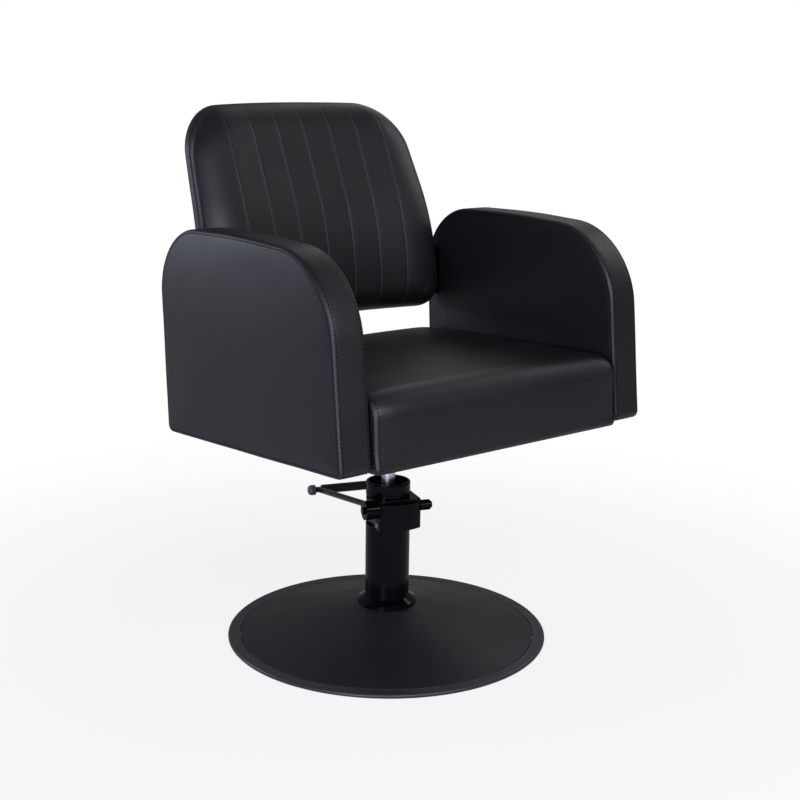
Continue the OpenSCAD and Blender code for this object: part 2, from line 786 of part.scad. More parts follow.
// Rounded knobs on the ends of the pedal bar
module pedal_knobs() {
    color("#2a2a2c") pump_frame() for (side = [0, 1]) mirror([side, 0, 0])
        translate([pedal_bar_len / 2, pedal_reach, pedal_z]) rotate([0, -90, 0]) difference() {
            rotate_extrude() {
                translate([0, knob_round]) square([knob_d / 2, knob_len - knob_round]);
                square([knob_d / 2 - knob_round, knob_round]);
                intersection() {
                    translate([knob_d / 2 - knob_round, knob_round]) circle(r = knob_round);
                    square([knob_d / 2, knob_round]);
                }
            }
            translate([0, 0, knob_len / 2 - gap]) cylinder(h = knob_len, d = pedal_rod_d + 2 * running);
        }
}

// Screws that hold the hubs on the axle's ends
module hub_screws() {
    color("#2a2a2c") pump_frame() at_axle() {
        bar_x(axle_left - hub_screw_h, axle_left, hub_screw_d);
        bar_x(axle_left, axle_left + hub_thread_len, hub_thread_d);
        bar_x(axle_right, axle_right + hub_screw_h, hub_screw_d);
        bar_x(axle_right - hub_thread_len, axle_right, hub_thread_d);
    }
}

// Places of the bracket's four bolts
module bracket_bolt_places() {
    for (x = [-1, 1], y = [-1, 1]) translate([x * bracket_pitch / 2, y * bracket_pitch / 2, 0]) children();
}

// Steel plate under the seat, with the ribbed socket that grips the rod
module seat_bracket() {
    rib_low = socket_z + 2 * rib_t;
    color("#0d0d0e") difference() {
        union() {
            tilted() translate([-bracket_side / 2, -bracket_side / 2, bracket_z])
                cube([bracket_side, bracket_side, bracket_t]);
            translate([0, 0, socket_z]) cylinder(h = socket_h + bracket_t / 2, d1 = socket_foot_d, d2 = socket_d);
            for (a = [45:90:315]) tilted() rotate([90, 0, a]) translate([0, 0, -rib_t / 2])
                linear_extrude(rib_t) polygon([
                    [socket_foot_d / 2 - rib_t, rib_low], [socket_foot_d / 2, rib_low],
                    [rib_reach, bracket_z + bracket_t / 2], [socket_foot_d / 2 - rib_t, bracket_z + bracket_t / 2]
                ]);
        }
        translate([0, 0, socket_z - over])
            cylinder(h = socket_h + bracket_t - socket_roof + over + gap, d = rod_d + 2 * running);
        tilted() bracket_bolt_places() translate([0, 0, bracket_z - over])
            cylinder(h = bracket_t + 2 * over, d = bracket_bolt_d + 2 * running);
    }
}

// Bolts from the bracket into the cross rails
module bracket_bolts() {
    color("silver") tilted() bracket_bolt_places() {
        translate([0, 0, bracket_z]) cylinder(h = bracket_bolt_len, d = bracket_bolt_d);
        translate([0, 0, bracket_z - bracket_head_h])
            cylinder(h = bracket_head_h, d = bracket_head_d, $fn = 6);
    }
}

// Wooden frame of four rails and two cross rails
module seat_frame() {
    depth = frame_front + frame_rear;
    color("burlywood") tilted() difference() {
        translate([-frame_half_w, -frame_front, frame_z]) cube([2 * frame_half_w, depth, rail_h]);
        difference() {
            translate([rail_t - frame_half_w, rail_t - frame_front, frame_z - over])
                cube([2 * (frame_half_w - rail_t), depth - 2 * rail_t, rail_h + 2 * over]);
            for (side = [-1, 1]) translate([side * bracket_pitch / 2 - cross_w / 2, -frame_front, frame_z])
                cube([cross_w, depth, rail_h]);
        }
        bracket_bolt_places() translate([0, 0, frame_z - over])
            cylinder(h = bracket_bolt_len + over, d = bracket_bolt_d + 2 * running);
        arm_bolt_places() bar_x(-rail_t - over, over, arm_bolt_d + 2 * running);
    }
}

// Plywood board on the frame
module seat_board() {
    color("burlywood") tilted() translate([-frame_half_w, -frame_front, board_z])
        cube([2 * frame_half_w, frame_front + frame_rear, board_t]);
}

// Thin cover stapled under the frame
module dust_cover() {
    color("#202020") tilted() difference() {
        translate([-frame_half_w, -frame_front, seat_z])
            cube([2 * frame_half_w, frame_front + frame_rear, dust_t]);
        bracket_bolt_places() translate([0, 0, seat_z - over])
            cylinder(h = dust_t + 2 * over, d = bracket_bolt_d + 2 * running);
    }
}

seat_mid_y = (seat_rear - seat_front) / 2;
seat_half_d = (seat_rear + seat_front) / 2;

// Height of the seat's top above its underside at a point
function seat_top(x, y) =
    let (fy = (y + seat_front) / (2 * seat_half_d))
    seat_front_h + (seat_rear_h - seat_front_h) * fy
    + seat_crown * (1 - pow(x / seat_half_w, 2)) * (1 - pow((y - seat_mid_y) / seat_half_d, 2));

// Ring of the seat's footprint, drawn in by d, with its height from the foot or down from the top
function seat_ring(d, up, down, corner_r) =
    let (
        hx = seat_half_w - d,
        front = -seat_front + d,
        rear = seat_rear - d,
        r = is_undef(corner_r) ? max(seat_corner - d, gap) : corner_r,
        path = rounded([[-hx, front], [hx, front], [hx, rear], [-hx, rear]], [r, r, r, r], seat_steps)
    )
    [for (p = path) [p[0], p[1], seat_z + (is_undef(down) ? up : seat_top(p[0], p[1]) - down)]];

// Widths of the rings inside the seat's roll, as shares of the way to the middle
seat_ring_shares = [0.3, 0.55, 0.8];

// Upholstered seat: a crowned top with rolled edges over a hollow for the frame and board
module seat_cushion() {
    hollow = seat_draw + seat_skirt - gap;
    color("#232326") tilted() skin([
        seat_ring(hollow, board_z + board_t + gap - seat_z, undef, gap),
        seat_ring(hollow, 0, undef, gap),
        seat_ring(seat_draw, 0),
        seat_ring(0, rail_h / 2),
        seat_ring(0, 0, seat_roll + seat_corner),
        for (i = [0:roll_steps]) let (a = 90 * i / roll_steps)
            seat_ring(seat_roll * (1 - cos(a)), 0, seat_roll * (1 - sin(a))),
        for (s = seat_ring_shares) seat_ring(seat_roll + s * (seat_half_d - seat_roll), 0, 0)
    ]);
}

// Side profile of an arm, as [y, z] points
arm_path = rounded(
    [
        [-arm_front, arm_z], [arm_rear, arm_z],
        [arm_rear, arm_z + arm_rear_h], [-arm_front + arm_front_lean, arm_z + arm_front_h]
    ],
    [arm_foot_r, arm_foot_r, arm_rear_r, arm_front_r], arm_steps
);
core_x = arm_x + (arm_t - core_t) / 2;

// Solid of an arm's profile drawn in by d, from x0 to x1
module arm_plate(d, x0, x1) {
    translate([x0, 0, 0]) rotate([90, 0, 90]) linear_extrude(x1 - x0) polygon(inset(arm_path, d));
}

// Places of the bolts that hold the arms to the seat frame, at the right-hand rail's outer face
module arm_bolt_places() {
    for (side = [0, 1], y = [-1:1]) mirror([side, 0, 0])
        translate([frame_half_w, seat_mid_y + y * arm_bolt_pitch, frame_z + rail_h / 2]) children();
}

// Wooden core board of the right arm
module arm_core() {
    difference() {
        tilted() difference() {
            arm_plate(band_t + gap, core_x, core_x + core_t);
            arm_bolt_places() bar_x(0, arm_t, arm_bolt_d + 2 * running);
        }
        back_bolt_places() bar_x(0, back_bolt_len, back_bolt_d + 2 * running);
    }
}

// Padded band sewn round the right arm's edge
module arm_band() {
    tilted() difference() {
        arm_plate(0, arm_x, arm_x + arm_t);
        arm_plate(band_t, arm_x - over, arm_x + arm_t + over);
    }
}

// Ring of an arm's panel, drawn in towards its middle, at height x
function arm_ring(d, share, x) =
    let (path = inset(arm_path, d), c = [for (k = [0:1]) [for (p = path) p[k]] * [for (p = path) 1] / len(path)])
    [for (p = path) let (q = c + share * (p - c)) [x, q[0], q[1]]];

// Sizes of a panel's rings towards its middle, and their rise, as shares
panel_ring_shares = [0.92, 0.8, 0.6, 0.35];
function panel_rise(share) = 1 - pow(share, 3);

// Crowned panel on one face of the core, from x0 to x1 at its edge, with its crown beyond
module arm_pad(x0, x1, crown) {
    way = x1 > x0 ? 1 : -1;
    rings = [
        arm_ring(band_t + gap, 1, x0),
        arm_ring(band_t + gap, 1, x1 - way * seam_fall),
        arm_ring(band_t + gap + seam_fall, 1, x1),
        for (s = panel_ring_shares) arm_ring(band_t + gap + seam_fall, s, x1 + way * crown * panel_rise(s))
    ];
    skin(way > 0 ? rings : [for (i = [len(rings) - 1:-1:0]) rings[i]]);
}

module arm_outer_pad() {
    tilted() arm_pad(core_x + core_t + gap, arm_x + arm_t, arm_crown);
}

module arm_inner_pad() {
    tilted() arm_pad(core_x - gap, arm_x, arm_inner_crown);
}

module right_arm_core() {
    color("burlywood") arm_core();
}

module right_arm_band() {
    color("#232326") arm_band();
}

module right_arm_outer_pad() {
    color("#232326") arm_outer_pad();
}

module right_arm_inner_pad() {
    color("#232326") arm_inner_pad();
}

module left_arm_core() {
    color("burlywood") mirror([1, 0, 0]) arm_core();
}

module left_arm_band() {
    color("#232326") mirror([1, 0, 0]) arm_band();
}

module left_arm_outer_pad() {
    color("#232326") mirror([1, 0, 0]) arm_outer_pad();
}

module left_arm_inner_pad() {
    color("#232326") mirror([1, 0, 0]) arm_inner_pad();
}

// Bolts from inside the seat frame into the arms' cores
module arm_bolts() {
    color("silver") tilted() arm_bolt_places() {
        bar_x(-rail_t, arm_bolt_len - rail_t, arm_bolt_d);
        bar_x(-rail_t - arm_bolt_head_h, -rail_t, arm_bolt_head_d);
    }
}

// Distance back from the foot of the back's face, at a height above the foot, on the centre line
function back_profile(h) =
    let (
        bend_h = back_bend_r * sin(back_lean),
        over_bend = h - back_upright
    )
    over_bend <= 0 ? 0
    : over_bend < bend_h ? back_bend_r * (1 - cos(asin(over_bend / back_bend_r)))
    : back_bend_r * (1 - cos(back_lean)) + (over_bend - bend_h) * tan(back_lean);

// The back's face before its roll and crown: a profile that curves forward at both sides
function back_face(x, h) = back_out + back_profile(h) - pow(x, 2) / (2 * back_curve_r);

function clamp01(v) = max(0, min(1, v));

// Half the back's width at a height above its foot
function back_half(h) =
    (back_w + (back_top_w - back_w) * h / back_h) / 2 + back_side_swell * (1 - pow(2 * h / back_h - 1, 2));

// A point of the back's outline grid at column x and height h, drawn in by d, with its corners rounded
function back_place(x, h, d) =
    let (
        half = back_half(h) - d,
        upper = h > back_h / 2,
        r = max((upper ? back_top_corner : back_foot_corner) - d, gap),
        edge = upper ? back_h - d : d,
        way = upper ? 1 : -1,
        a = clamp01((abs(x) - half + r) / r),
        b = clamp01(way * (h - edge) / r + 1)
    )
    [
        a > 0 ? sign(x) * (half - r + r * a * sqrt(1 - b * b / 2)) : x,
        b > 0 ? edge - way * r + way * r * b * sqrt(1 - a * a / 2) : h
    ];

// How far a point is into the roll at the edge, from 0 inside to 1 on the outline
function back_edge_share(x, h, d, roll) =
    let (
        p = clamp01(1 - (back_half(h) - d - abs(x)) / roll),
        q = clamp01(1 - min(h - d, back_h - d - h) / roll)
    )
    min(1, sqrt(p * p + q * q));

function roll_drop(share) = 1 - sqrt(max(0, 1 - share * share));

seam_xs = [for (i = [0:back_seams - 1]) (i - (back_seams - 1) / 2) * back_seam_pitch];
seam_out = seam_xs[back_seams - 1] + back_seam_w;

// Columns across the front cushion at a half width: each seam, the fall beside it, and the outer rolls
function cushion_columns(half) =
    let (outer = [for (i = [1:roll_steps]) seam_out + (half - seam_out) * sin(90 * i / roll_steps)])
    [
        for (i = [roll_steps - 1:-1:0]) -outer[i],
        for (i = [0:back_seams - 1]) each [
            seam_xs[i] - back_seam_w, seam_xs[i], seam_xs[i] + back_seam_w,
            if (i < back_seams - 1) (seam_xs[i] + seam_xs[i + 1]) / 2
        ],
        for (i = [0:roll_steps - 1]) outer[i]
    ];

// Heights of the front cushion's rows: close together in the rolls and even between them
back_middle_rows = 7;
cushion_rows = [
    for (i = [0:roll_steps - 1]) back_roll * (1 - cos(90 * i / roll_steps)),
    for (i = [0:back_middle_rows]) back_roll + (back_h - 2 * back_roll) * i / back_middle_rows,
    for (i = [roll_steps - 1:-1:0]) back_h - back_roll * (1 - cos(90 * i / roll_steps))
];

// Columns or rows over a board from one edge at -half to the other, even between its outer steps
board_steps = 12;
function board_line(half, steps) =
    [for (e = steps) -half + e, for (i = [1:board_steps - 1]) (half - steps[len(steps) - 1]) * (2 * i / board_steps - 1),
        for (i = [len(steps) - 1:-1:0]) half - steps[i]];

// Outer steps of the rear panel's grid: its rolled edge, then the wall of the hollow for the board
panel_steps = [0, back_shell_roll / 4, back_board_in - 2 * gap, back_board_in - gap, 2 * back_board_in];
board_edge_steps = [0, back_board_in];

function seam_dip(x) = len([for (s = seam_xs) if (abs(x - s) < back_seam_w / 2) s]) > 0 ? back_seam_depth : 0;

// A point over the back's face at column x and height h of an outline drawn in by d, moved back by set
function back_point(x, h, d, set) =
    let (place = back_place(x, h, d))
    [
        place[0], back_face(place[0], place[1]) + set,
        back_z + place[1] - back_arch * pow(2 * place[0] / back_top_w, 2) * place[1] / back_h
    ];

// How much a crown rises at a point of the back, as a share of its height in the middle
function back_crown_share(x, h) = (1 - pow(x / back_half(h), 2)) * (1 - pow(2 * h / back_h - 1, 2));

// Curved plywood board inside the back
module back_board() {
    rows = [for (v = board_line(back_h / 2 - back_board_in, board_edge_steps)) back_h / 2 + v];
    function grid(set) = [for (h = rows)
        [for (x = board_line(back_half(h) - back_board_in, board_edge_steps)) back_point(x, h, back_board_in, set)]];
    color("burlywood") slab(grid(back_t + layer_gap), grid(back_t + layer_gap + back_board_t));
}

// Front cushion of the back, with its rolled edges, crown and sewn seams
module back_cushion() {
    front = [for (h = cushion_rows) [for (x = cushion_columns(back_half(h)))
        let (s = back_edge_share(x, h, 0, back_roll))
        back_point(x, h, 0, (back_t - 2 * gap) * roll_drop(s) - back_crown * back_crown_share(x, h)
            + seam_dip(x) * (1 - s))]];
    rear = [for (h = cushion_rows) [for (x = cushion_columns(back_half(h))) back_point(x, h, 0, back_t)]];
    color("#232326") slab(front, rear);
}

// Rear panel, wrapped round the board's edge and meeting the cushion at the side seam
module back_rear_panel() {
    rim = back_board_t + back_shell_t;
    rows = [for (v = board_line(back_h / 2, panel_steps)) back_h / 2 + v];
    inner = len(panel_steps) - 2;
    function hollow(i, n) = i >= inner && i < n - inner;
    front = [for (r = [0:len(rows) - 1])
        let (xs = board_line(back_half(rows[r]), panel_steps))
        [for (c = [0:len(xs) - 1])
            let (deep = hollow(r, len(rows)) && hollow(c, len(xs)))
            back_point(xs[c], rows[r], 0, back_t + layer_gap + (deep ? back_board_t + layer_gap : 0))]];
    rear = [for (h = rows) [for (x = board_line(back_half(h), panel_steps))
        let (s = back_edge_share(x, h, 0, back_shell_roll))
        back_point(x, h, 0, back_t + layer_gap + rim - (rim - 2 * gap) * roll_drop(s)
            + back_shell_crown * back_crown_share(x, h))]];
    color("#232326") slab(front, rear);
}

back_bracket_x = arm_x - arm_inner_crown - gap - back_bracket_t;
back_bracket_z = back_z + back_bracket_up;
back_bracket_mid = back_bracket_up + back_bracket_h / 2;
back_bracket_y = back_face(back_half(back_bracket_mid), back_bracket_mid) + back_t + back_board_t / 2;

// Places of the bracket's two bolts at the right-hand bracket's inner face
module back_bolt_places() {
    for (z = [back_bolt_in, back_bracket_h - back_bolt_in])
        translate([back_bracket_x, back_bracket_y, back_bracket_z + z]) children();
}

// Flat steel plate between the right arm and the back
module back_bracket() {
    difference() {
        translate([back_bracket_x, back_bracket_y - back_bracket_w / 2, back_bracket_z])
            cube([back_bracket_t, back_bracket_w, back_bracket_h]);
        back_bolt_places() bar_x(-over, back_bracket_t + over, back_bolt_d + 2 * running);
    }
}

module right_back_bracket() {
    color("#0d0d0e") back_bracket();
}

module left_back_bracket() {
    color("#0d0d0e") mirror([1, 0, 0]) back_bracket();
}

// Bolts through the brackets, into the arms' cores and the back's board
module back_bolts() {
    color("silver") for (side = [0, 1]) mirror([side, 0, 0])
        back_bolt_places() bar_x(-back_bolt_len, back_bolt_len, back_bolt_d);
}

// Spacers between the brackets and the back
module back_spacers() {
    color("#0d0d0e") for (side = [0, 1], z = [back_bolt_in, back_bracket_h - back_bolt_in]) mirror([side, 0, 0])
        translate([0, back_bracket_y, back_bracket_z + z]) difference() {
            bar_x(back_half(back_bracket_up + z - back_spacer_d / 2) + gap, back_bracket_x, back_spacer_d);
            bar_x(0, chair_w, back_bolt_d + 2 * running);
        }
}

base_plate();
grip_ring();
trim_ring();
base_cover();
foot_collar();
column_tube();
foot_bolts();
pressure_cylinder();
pump_head();
valve_screw();
plunger_spring();
plunger();
top_cap();
wiper_ring();
piston();
piston_seal();
piston_rod();
pump_axle();
pedal_frame();
pedal_sleeve();
pedal_knobs();
hub_screws();
seat_bracket();
bracket_bolts();
seat_frame();
seat_board();
dust_cover();
seat_cushion();
right_arm_core();
right_arm_band();
right_arm_outer_pad();
right_arm_inner_pad();
left_arm_core();
left_arm_band();
left_arm_outer_pad();
left_arm_inner_pad();
arm_bolts();
back_board();
back_cushion();
back_rear_panel();
right_back_bracket();
left_back_bracket();
back_bolts();
back_spacers();
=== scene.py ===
# %% [markdown]
# # A padded hairdressing chair on a pump column
# This lesson dresses a finished CAD model. The CAD gives every part its place and size; here each
# visible part gets the shape, seams and finish of the real thing. We work in metres with Z up, and
# the numbers in the text are millimetres, so one constant turns one into the other.

# %% Load the CAD model
import bmesh
import bpy
from math import atan2, cos, exp, hypot, pi, radians, sin, sqrt, tan
from mathutils import Matrix, Vector, noise
from mathutils.bvhtree import BVHTree


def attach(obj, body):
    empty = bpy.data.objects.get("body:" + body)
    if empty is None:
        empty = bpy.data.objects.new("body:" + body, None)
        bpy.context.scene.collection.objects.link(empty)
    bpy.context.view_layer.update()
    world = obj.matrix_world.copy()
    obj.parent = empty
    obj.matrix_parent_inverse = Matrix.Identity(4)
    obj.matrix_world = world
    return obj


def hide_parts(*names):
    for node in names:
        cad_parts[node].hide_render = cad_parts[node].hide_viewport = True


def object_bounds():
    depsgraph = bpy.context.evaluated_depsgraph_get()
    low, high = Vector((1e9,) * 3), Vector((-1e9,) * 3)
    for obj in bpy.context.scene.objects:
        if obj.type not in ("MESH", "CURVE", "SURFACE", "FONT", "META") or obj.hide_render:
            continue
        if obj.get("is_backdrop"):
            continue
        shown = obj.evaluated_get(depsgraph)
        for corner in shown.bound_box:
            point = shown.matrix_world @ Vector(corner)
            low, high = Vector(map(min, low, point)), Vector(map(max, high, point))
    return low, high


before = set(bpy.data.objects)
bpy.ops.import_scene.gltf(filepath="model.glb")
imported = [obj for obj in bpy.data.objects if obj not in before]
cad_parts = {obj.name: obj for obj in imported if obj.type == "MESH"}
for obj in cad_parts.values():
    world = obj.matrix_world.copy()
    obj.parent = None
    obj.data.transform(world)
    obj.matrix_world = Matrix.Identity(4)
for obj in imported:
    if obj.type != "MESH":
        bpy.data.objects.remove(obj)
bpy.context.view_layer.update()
MM = 0.001

# %% [markdown]
# ## The camera
# The photograph looks at the chair from the front left, a little above the seat. The camera's turn
# about the column, its height and its small roll were measured on the CAD model's outline, so it is
# built from those three angles. A long lens keeps the upright lines nearly parallel.

# %% Camera
AZIMUTH, ELEVATION, ROLL = radians(-39.785), radians(13.392), radians(0.794)
DISTANCE, AIM_RIGHT, AIM_HEIGHT = 2598.1, 19.15, 440.2
FILM_WIDTH, FOCAL_LENGTH = 36, 65.846

back = Vector((sin(AZIMUTH) * cos(ELEVATION), -cos(AZIMUTH) * cos(ELEVATION), sin(ELEVATION)))
right = Vector((cos(AZIMUTH), sin(AZIMUTH), 0))
up = back.cross(right)
rolled_right = cos(ROLL) * right + sin(ROLL) * up
rolled_up = cos(ROLL) * up - sin(ROLL) * right
target = Vector((0, 0, AIM_HEIGHT * MM)) + right * AIM_RIGHT * MM
lens = bpy.data.cameras.new("camera")
lens.sensor_width = FILM_WIDTH
lens.lens = FOCAL_LENGTH
lens.clip_end = 50
camera = bpy.data.objects.new("camera", lens)
turn = Matrix((rolled_right, rolled_up, back)).transposed().to_4x4()
camera.matrix_world = Matrix.Translation(target + back * DISTANCE * MM) @ turn
bpy.context.collection.objects.link(camera)
bpy.context.scene.camera = camera
print("camera at", [round(c, 3) for c in camera.location])

# %% [markdown]
# ## Colours and shader nodes
# Colours are written as the hex values that a picture editor shows. Blender's shaders want linear
# light, so one function converts them. A second function adds a shader node, fills its sockets and
# sets its options in one call, which keeps each material readable as a list. Every pattern reads
# the object's own coordinates, so a new material comes with them.

# %% Colour and node helpers
def colour(code):
    parts = [int(code[i:i + 2], 16) / 255 for i in (1, 3, 5)]
    return tuple(c / 12.92 if c <= 0.04045 else ((c + 0.055) / 1.055) ** 2.4 for c in parts) + (1,)


def add_node(tree, kind, sockets=None, **options):
    node = tree.nodes.new(kind)
    for name, value in options.items():
        setattr(node, name, value)
    for name, value in (sockets or {}).items():
        if isinstance(value, bpy.types.NodeSocket):
            tree.links.new(value, node.inputs[name])
        else:
            node.inputs[name].default_value = value
    return node


def new_material(name):
    """An empty material, its node tree, and the socket that gives the place on the object."""
    material = bpy.data.materials.new(name)
    material.use_nodes = True
    tree = material.node_tree
    tree.nodes.clear()
    print("material:", name)
    return material, tree, add_node(tree, "ShaderNodeTexCoord").outputs["Object"]

# %% [markdown]
# ## A white studio
# The chair stands in a white studio. The floor is pale and keeps a soft shadow. The world is white
# where the camera sees it, directly or through something clear. A reflection sees it only faintly,
# as in a studio whose other walls are dark. As a lamp it is weaker still, so black paint and
# leatherette stay black. The floor does the same, and turns fully white away from the chair.

# %% World
WORLD_LIGHT, WORLD_IN_GLOSS, FLOOR_IN_GLOSS = 0.12, 0.06, 0.12

scene = bpy.context.scene
scene.view_settings.view_transform = "Standard"
world = bpy.data.worlds.new("studio")
scene.world = world
world.use_nodes = True
sky = world.node_tree
sky.nodes.clear()
seen = add_node(sky, "ShaderNodeLightPath").outputs
clear = add_node(sky, "ShaderNodeMath", {0: seen["Is Camera Ray"], 1: seen["Is Transmission Ray"]},
                 operation="MAXIMUM")
shiny = add_node(sky, "ShaderNodeMath", {0: seen["Is Glossy Ray"], 1: WORLD_IN_GLOSS}, operation="MULTIPLY")
shown = add_node(sky, "ShaderNodeMath", {0: clear.outputs[0], 1: shiny.outputs[0]}, operation="MAXIMUM")
level = add_node(sky, "ShaderNodeMapRange", {
    "Value": shown.outputs[0], "To Min": WORLD_LIGHT, "To Max": 1.0})
glow = add_node(sky, "ShaderNodeBackground", {
    "Color": colour("#ffffff"), "Strength": level.outputs["Result"]})
add_node(sky, "ShaderNodeOutputWorld", {"Surface": glow.outputs[0]})

# %% Floor
floor_paint, tree, place = new_material("matt_white_floor_paint")
seen = add_node(tree, "ShaderNodeLightPath").outputs
patches = add_node(tree, "ShaderNodeTexNoise", {"Vector": place, "Scale": 3.0, "Detail": 2.0})
tone = add_node(tree, "ShaderNodeMapRange", {"Value": patches.outputs[0], "To Min": 0.60, "To Max": 0.64})
matt = add_node(tree, "ShaderNodeBsdfDiffuse", {"Color": tone.outputs["Result"]})
distance = add_node(tree, "ShaderNodeVectorMath", {0: place}, operation="LENGTH")
far = add_node(tree, "ShaderNodeMapRange", {
    "Value": distance.outputs["Value"], "From Min": 0.4, "From Max": 1.6, "To Min": 0.84, "To Max": 1.0},
    interpolation_type="SMOOTHSTEP")
white = add_node(tree, "ShaderNodeEmission", {"Color": colour("#ffffff"), "Strength": 1.0})
shiny = add_node(tree, "ShaderNodeMath", {0: seen["Is Glossy Ray"], 1: FLOOR_IN_GLOSS}, operation="MULTIPLY")
share = add_node(tree, "ShaderNodeMath", {0: seen["Is Camera Ray"], 1: shiny.outputs[0]}, operation="MAXIMUM")
part = add_node(tree, "ShaderNodeMath", {0: share.outputs[0], 1: far.outputs["Result"]}, operation="MULTIPLY")
mixed = add_node(tree, "ShaderNodeMixShader", {0: part.outputs[0], 1: matt.outputs[0], 2: white.outputs[0]})
add_node(tree, "ShaderNodeOutputMaterial", {"Surface": mixed.outputs[0]})

bm = bmesh.new()
bmesh.ops.create_circle(bm, cap_ends=True, segments=64, radius=12)
floor_mesh = bpy.data.meshes.new("floor")
bm.to_mesh(floor_mesh)
bm.free()
floor_mesh.materials.append(floor_paint)
floor = bpy.data.objects.new("floor", floor_mesh)
bpy.context.collection.objects.link(floor)
floor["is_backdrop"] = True
print("floor:", len(floor_mesh.vertices), "corners")

# %% [markdown]
# The lamps are area lamps, which act as soft boxes. Two stand on the left and give the arm its even
# sheen. A wide one in front lights the rolls of the back and the seat, and two weak ones on the
# right draw the edges there. The gloss column mirrors them all as upright bands.

# %% Lamps
def soft_box(name, place, aim, width, height, watts, tint):
    data = bpy.data.lights.new(name, "AREA")
    data.shape = "RECTANGLE"
    data.size, data.size_y = width, height
    data.energy = watts
    data.color = colour(tint)[:3]
    lamp = bpy.data.objects.new(name, data)
    lamp.location = place
    lamp.rotation_euler = (Vector(aim) - Vector(place)).to_track_quat("-Z", "Y").to_euler()
    bpy.context.collection.objects.link(lamp)


soft_box("left_front_box", (-2.2, -1.3, 0.8), (0, 0, 0.5), 0.8, 1.5, 46, "#d3deff")
soft_box("left_rear_box", (-1.6, 2.1, 1.2), (0, 0, 0.5), 0.8, 1.4, 17, "#e4eaff")
soft_box("right_box", (1.9, -0.2, 1.7), (0, 0, 0.6), 1.0, 1.2, 7, "#fdfbff")
soft_box("right_rear_box", (1.5, 1.2, 2.0), (0, 0, 0.6), 1.0, 1.0, 3, "#fdfbff")
soft_box("front_box", (-0.5, -2.2, 1.7), (0, 0, 0.7), 2.2, 0.7, 44, "#f3f4ff")
print("lamps:", len(bpy.data.lights))

# %% [markdown]
# ## Leatherette
# The covers are leatherette: a knitted cloth with a soft vinyl skin, embossed with a fine pebble
# grain. Vinyl has an IOR of about 1.5 and a satin surface. The grain is a cell pattern; the real
# pebbles are 1 mm wide, and here they are 2 mm so that a picture of the whole chair still shows
# them. Slow noise varies the gloss, as handling and stretching do on a real cover.

# %% Leatherette material
def leatherette_skin(name, tone, crest_tone, rough):
    material, tree, place = new_material(name)
    pebbles = add_node(tree, "ShaderNodeTexVoronoi", {"Vector": place, "Scale": 500.0, "Randomness": 0.85},
                       feature="SMOOTH_F1")
    creases = add_node(tree, "ShaderNodeTexNoise", {"Vector": place, "Scale": 160.0, "Detail": 3.0})
    slow = add_node(tree, "ShaderNodeTexNoise", {"Vector": place, "Scale": 9.0, "Detail": 2.0})
    grain = add_node(tree, "ShaderNodeMath", {
        0: creases.outputs[0], 1: 0.5, 2: pebbles.outputs["Distance"]}, operation="MULTIPLY_ADD")
    relief = add_node(tree, "ShaderNodeBump", {
        "Height": grain.outputs[0], "Strength": 0.18, "Distance": 0.0006})
    gloss = add_node(tree, "ShaderNodeMapRange", {
        "Value": slow.outputs[0], "From Min": 0.3, "From Max": 0.7,
        "To Min": rough - 0.035, "To Max": rough + 0.035})
    dye = add_node(tree, "ShaderNodeMix", {
        "Factor": pebbles.outputs["Distance"], 6: colour(tone), 7: colour(crest_tone)}, data_type="RGBA")
    skin = add_node(tree, "ShaderNodeBsdfPrincipled", {
        "Base Color": dye.outputs[2], "Roughness": gloss.outputs["Result"], "IOR": 1.5,
        "Specular IOR Level": 0.42, "Normal": relief.outputs[0]})
    add_node(tree, "ShaderNodeOutputMaterial", {"Surface": skin.outputs[0]})
    return material


leatherette = leatherette_skin("black_leatherette", "#0f0f11", "#151518", 0.45)

# %% [markdown]
# The thread of the seams is bonded polyester, twisted from three strands. A wave that runs along
# the thread gives the twist. The rows beside the seams are black thread made darker and duller than it
# is, which paints the shadow in the stitch holes, so they read as dark dashes on the lit ridges. The
# thread in the grooves of the back is the same black thread with a painted highlight: it is coloured
# a dark grey that stands for the little light it catches.

# %% Thread material
def bonded_thread(name, tone, rough, level):
    material, tree, place = new_material(name)
    twist = add_node(tree, "ShaderNodeTexWave", {"Vector": place, "Scale": 350.0, "Distortion": 1.0},
                     bands_direction="DIAGONAL")
    lay = add_node(tree, "ShaderNodeBump", {
        "Height": twist.outputs["Fac"], "Strength": 0.4, "Distance": 0.0003})
    body = add_node(tree, "ShaderNodeBsdfPrincipled", {
        "Base Color": colour(tone), "Roughness": rough, "IOR": 1.5,
        "Specular IOR Level": level, "Normal": lay.outputs[0]})
    add_node(tree, "ShaderNodeOutputMaterial", {"Surface": body.outputs[0]})
    return material


# Painted shade: this thread is darker and duller than black thread is, so that it paints the shadow in the
# stitch holes.
thread_painted_dark = bonded_thread("polyester_thread_painted_dark", "#030304", 0.8, 0.06)
# Painted highlight: the back's thread is the same black thread, coloured grey to show the light it catches.
thread_painted_sheen = bonded_thread("polyester_thread_painted_sheen", "#45464b", 0.5, 0.5)

# %% [markdown]
# ## Paint, plating, rubber and wood
# The column is steel with black stove enamel: a dark coat with a mirror-like skin. The floor disc
# has a textured powder coat, which scatters light, and its trim ring a smoother, paler one. One
# recipe serves all three; grit size and roughness tell them apart. Enamel levels out with a faint
# waviness called orange peel, about 3 mm from crest to crest.

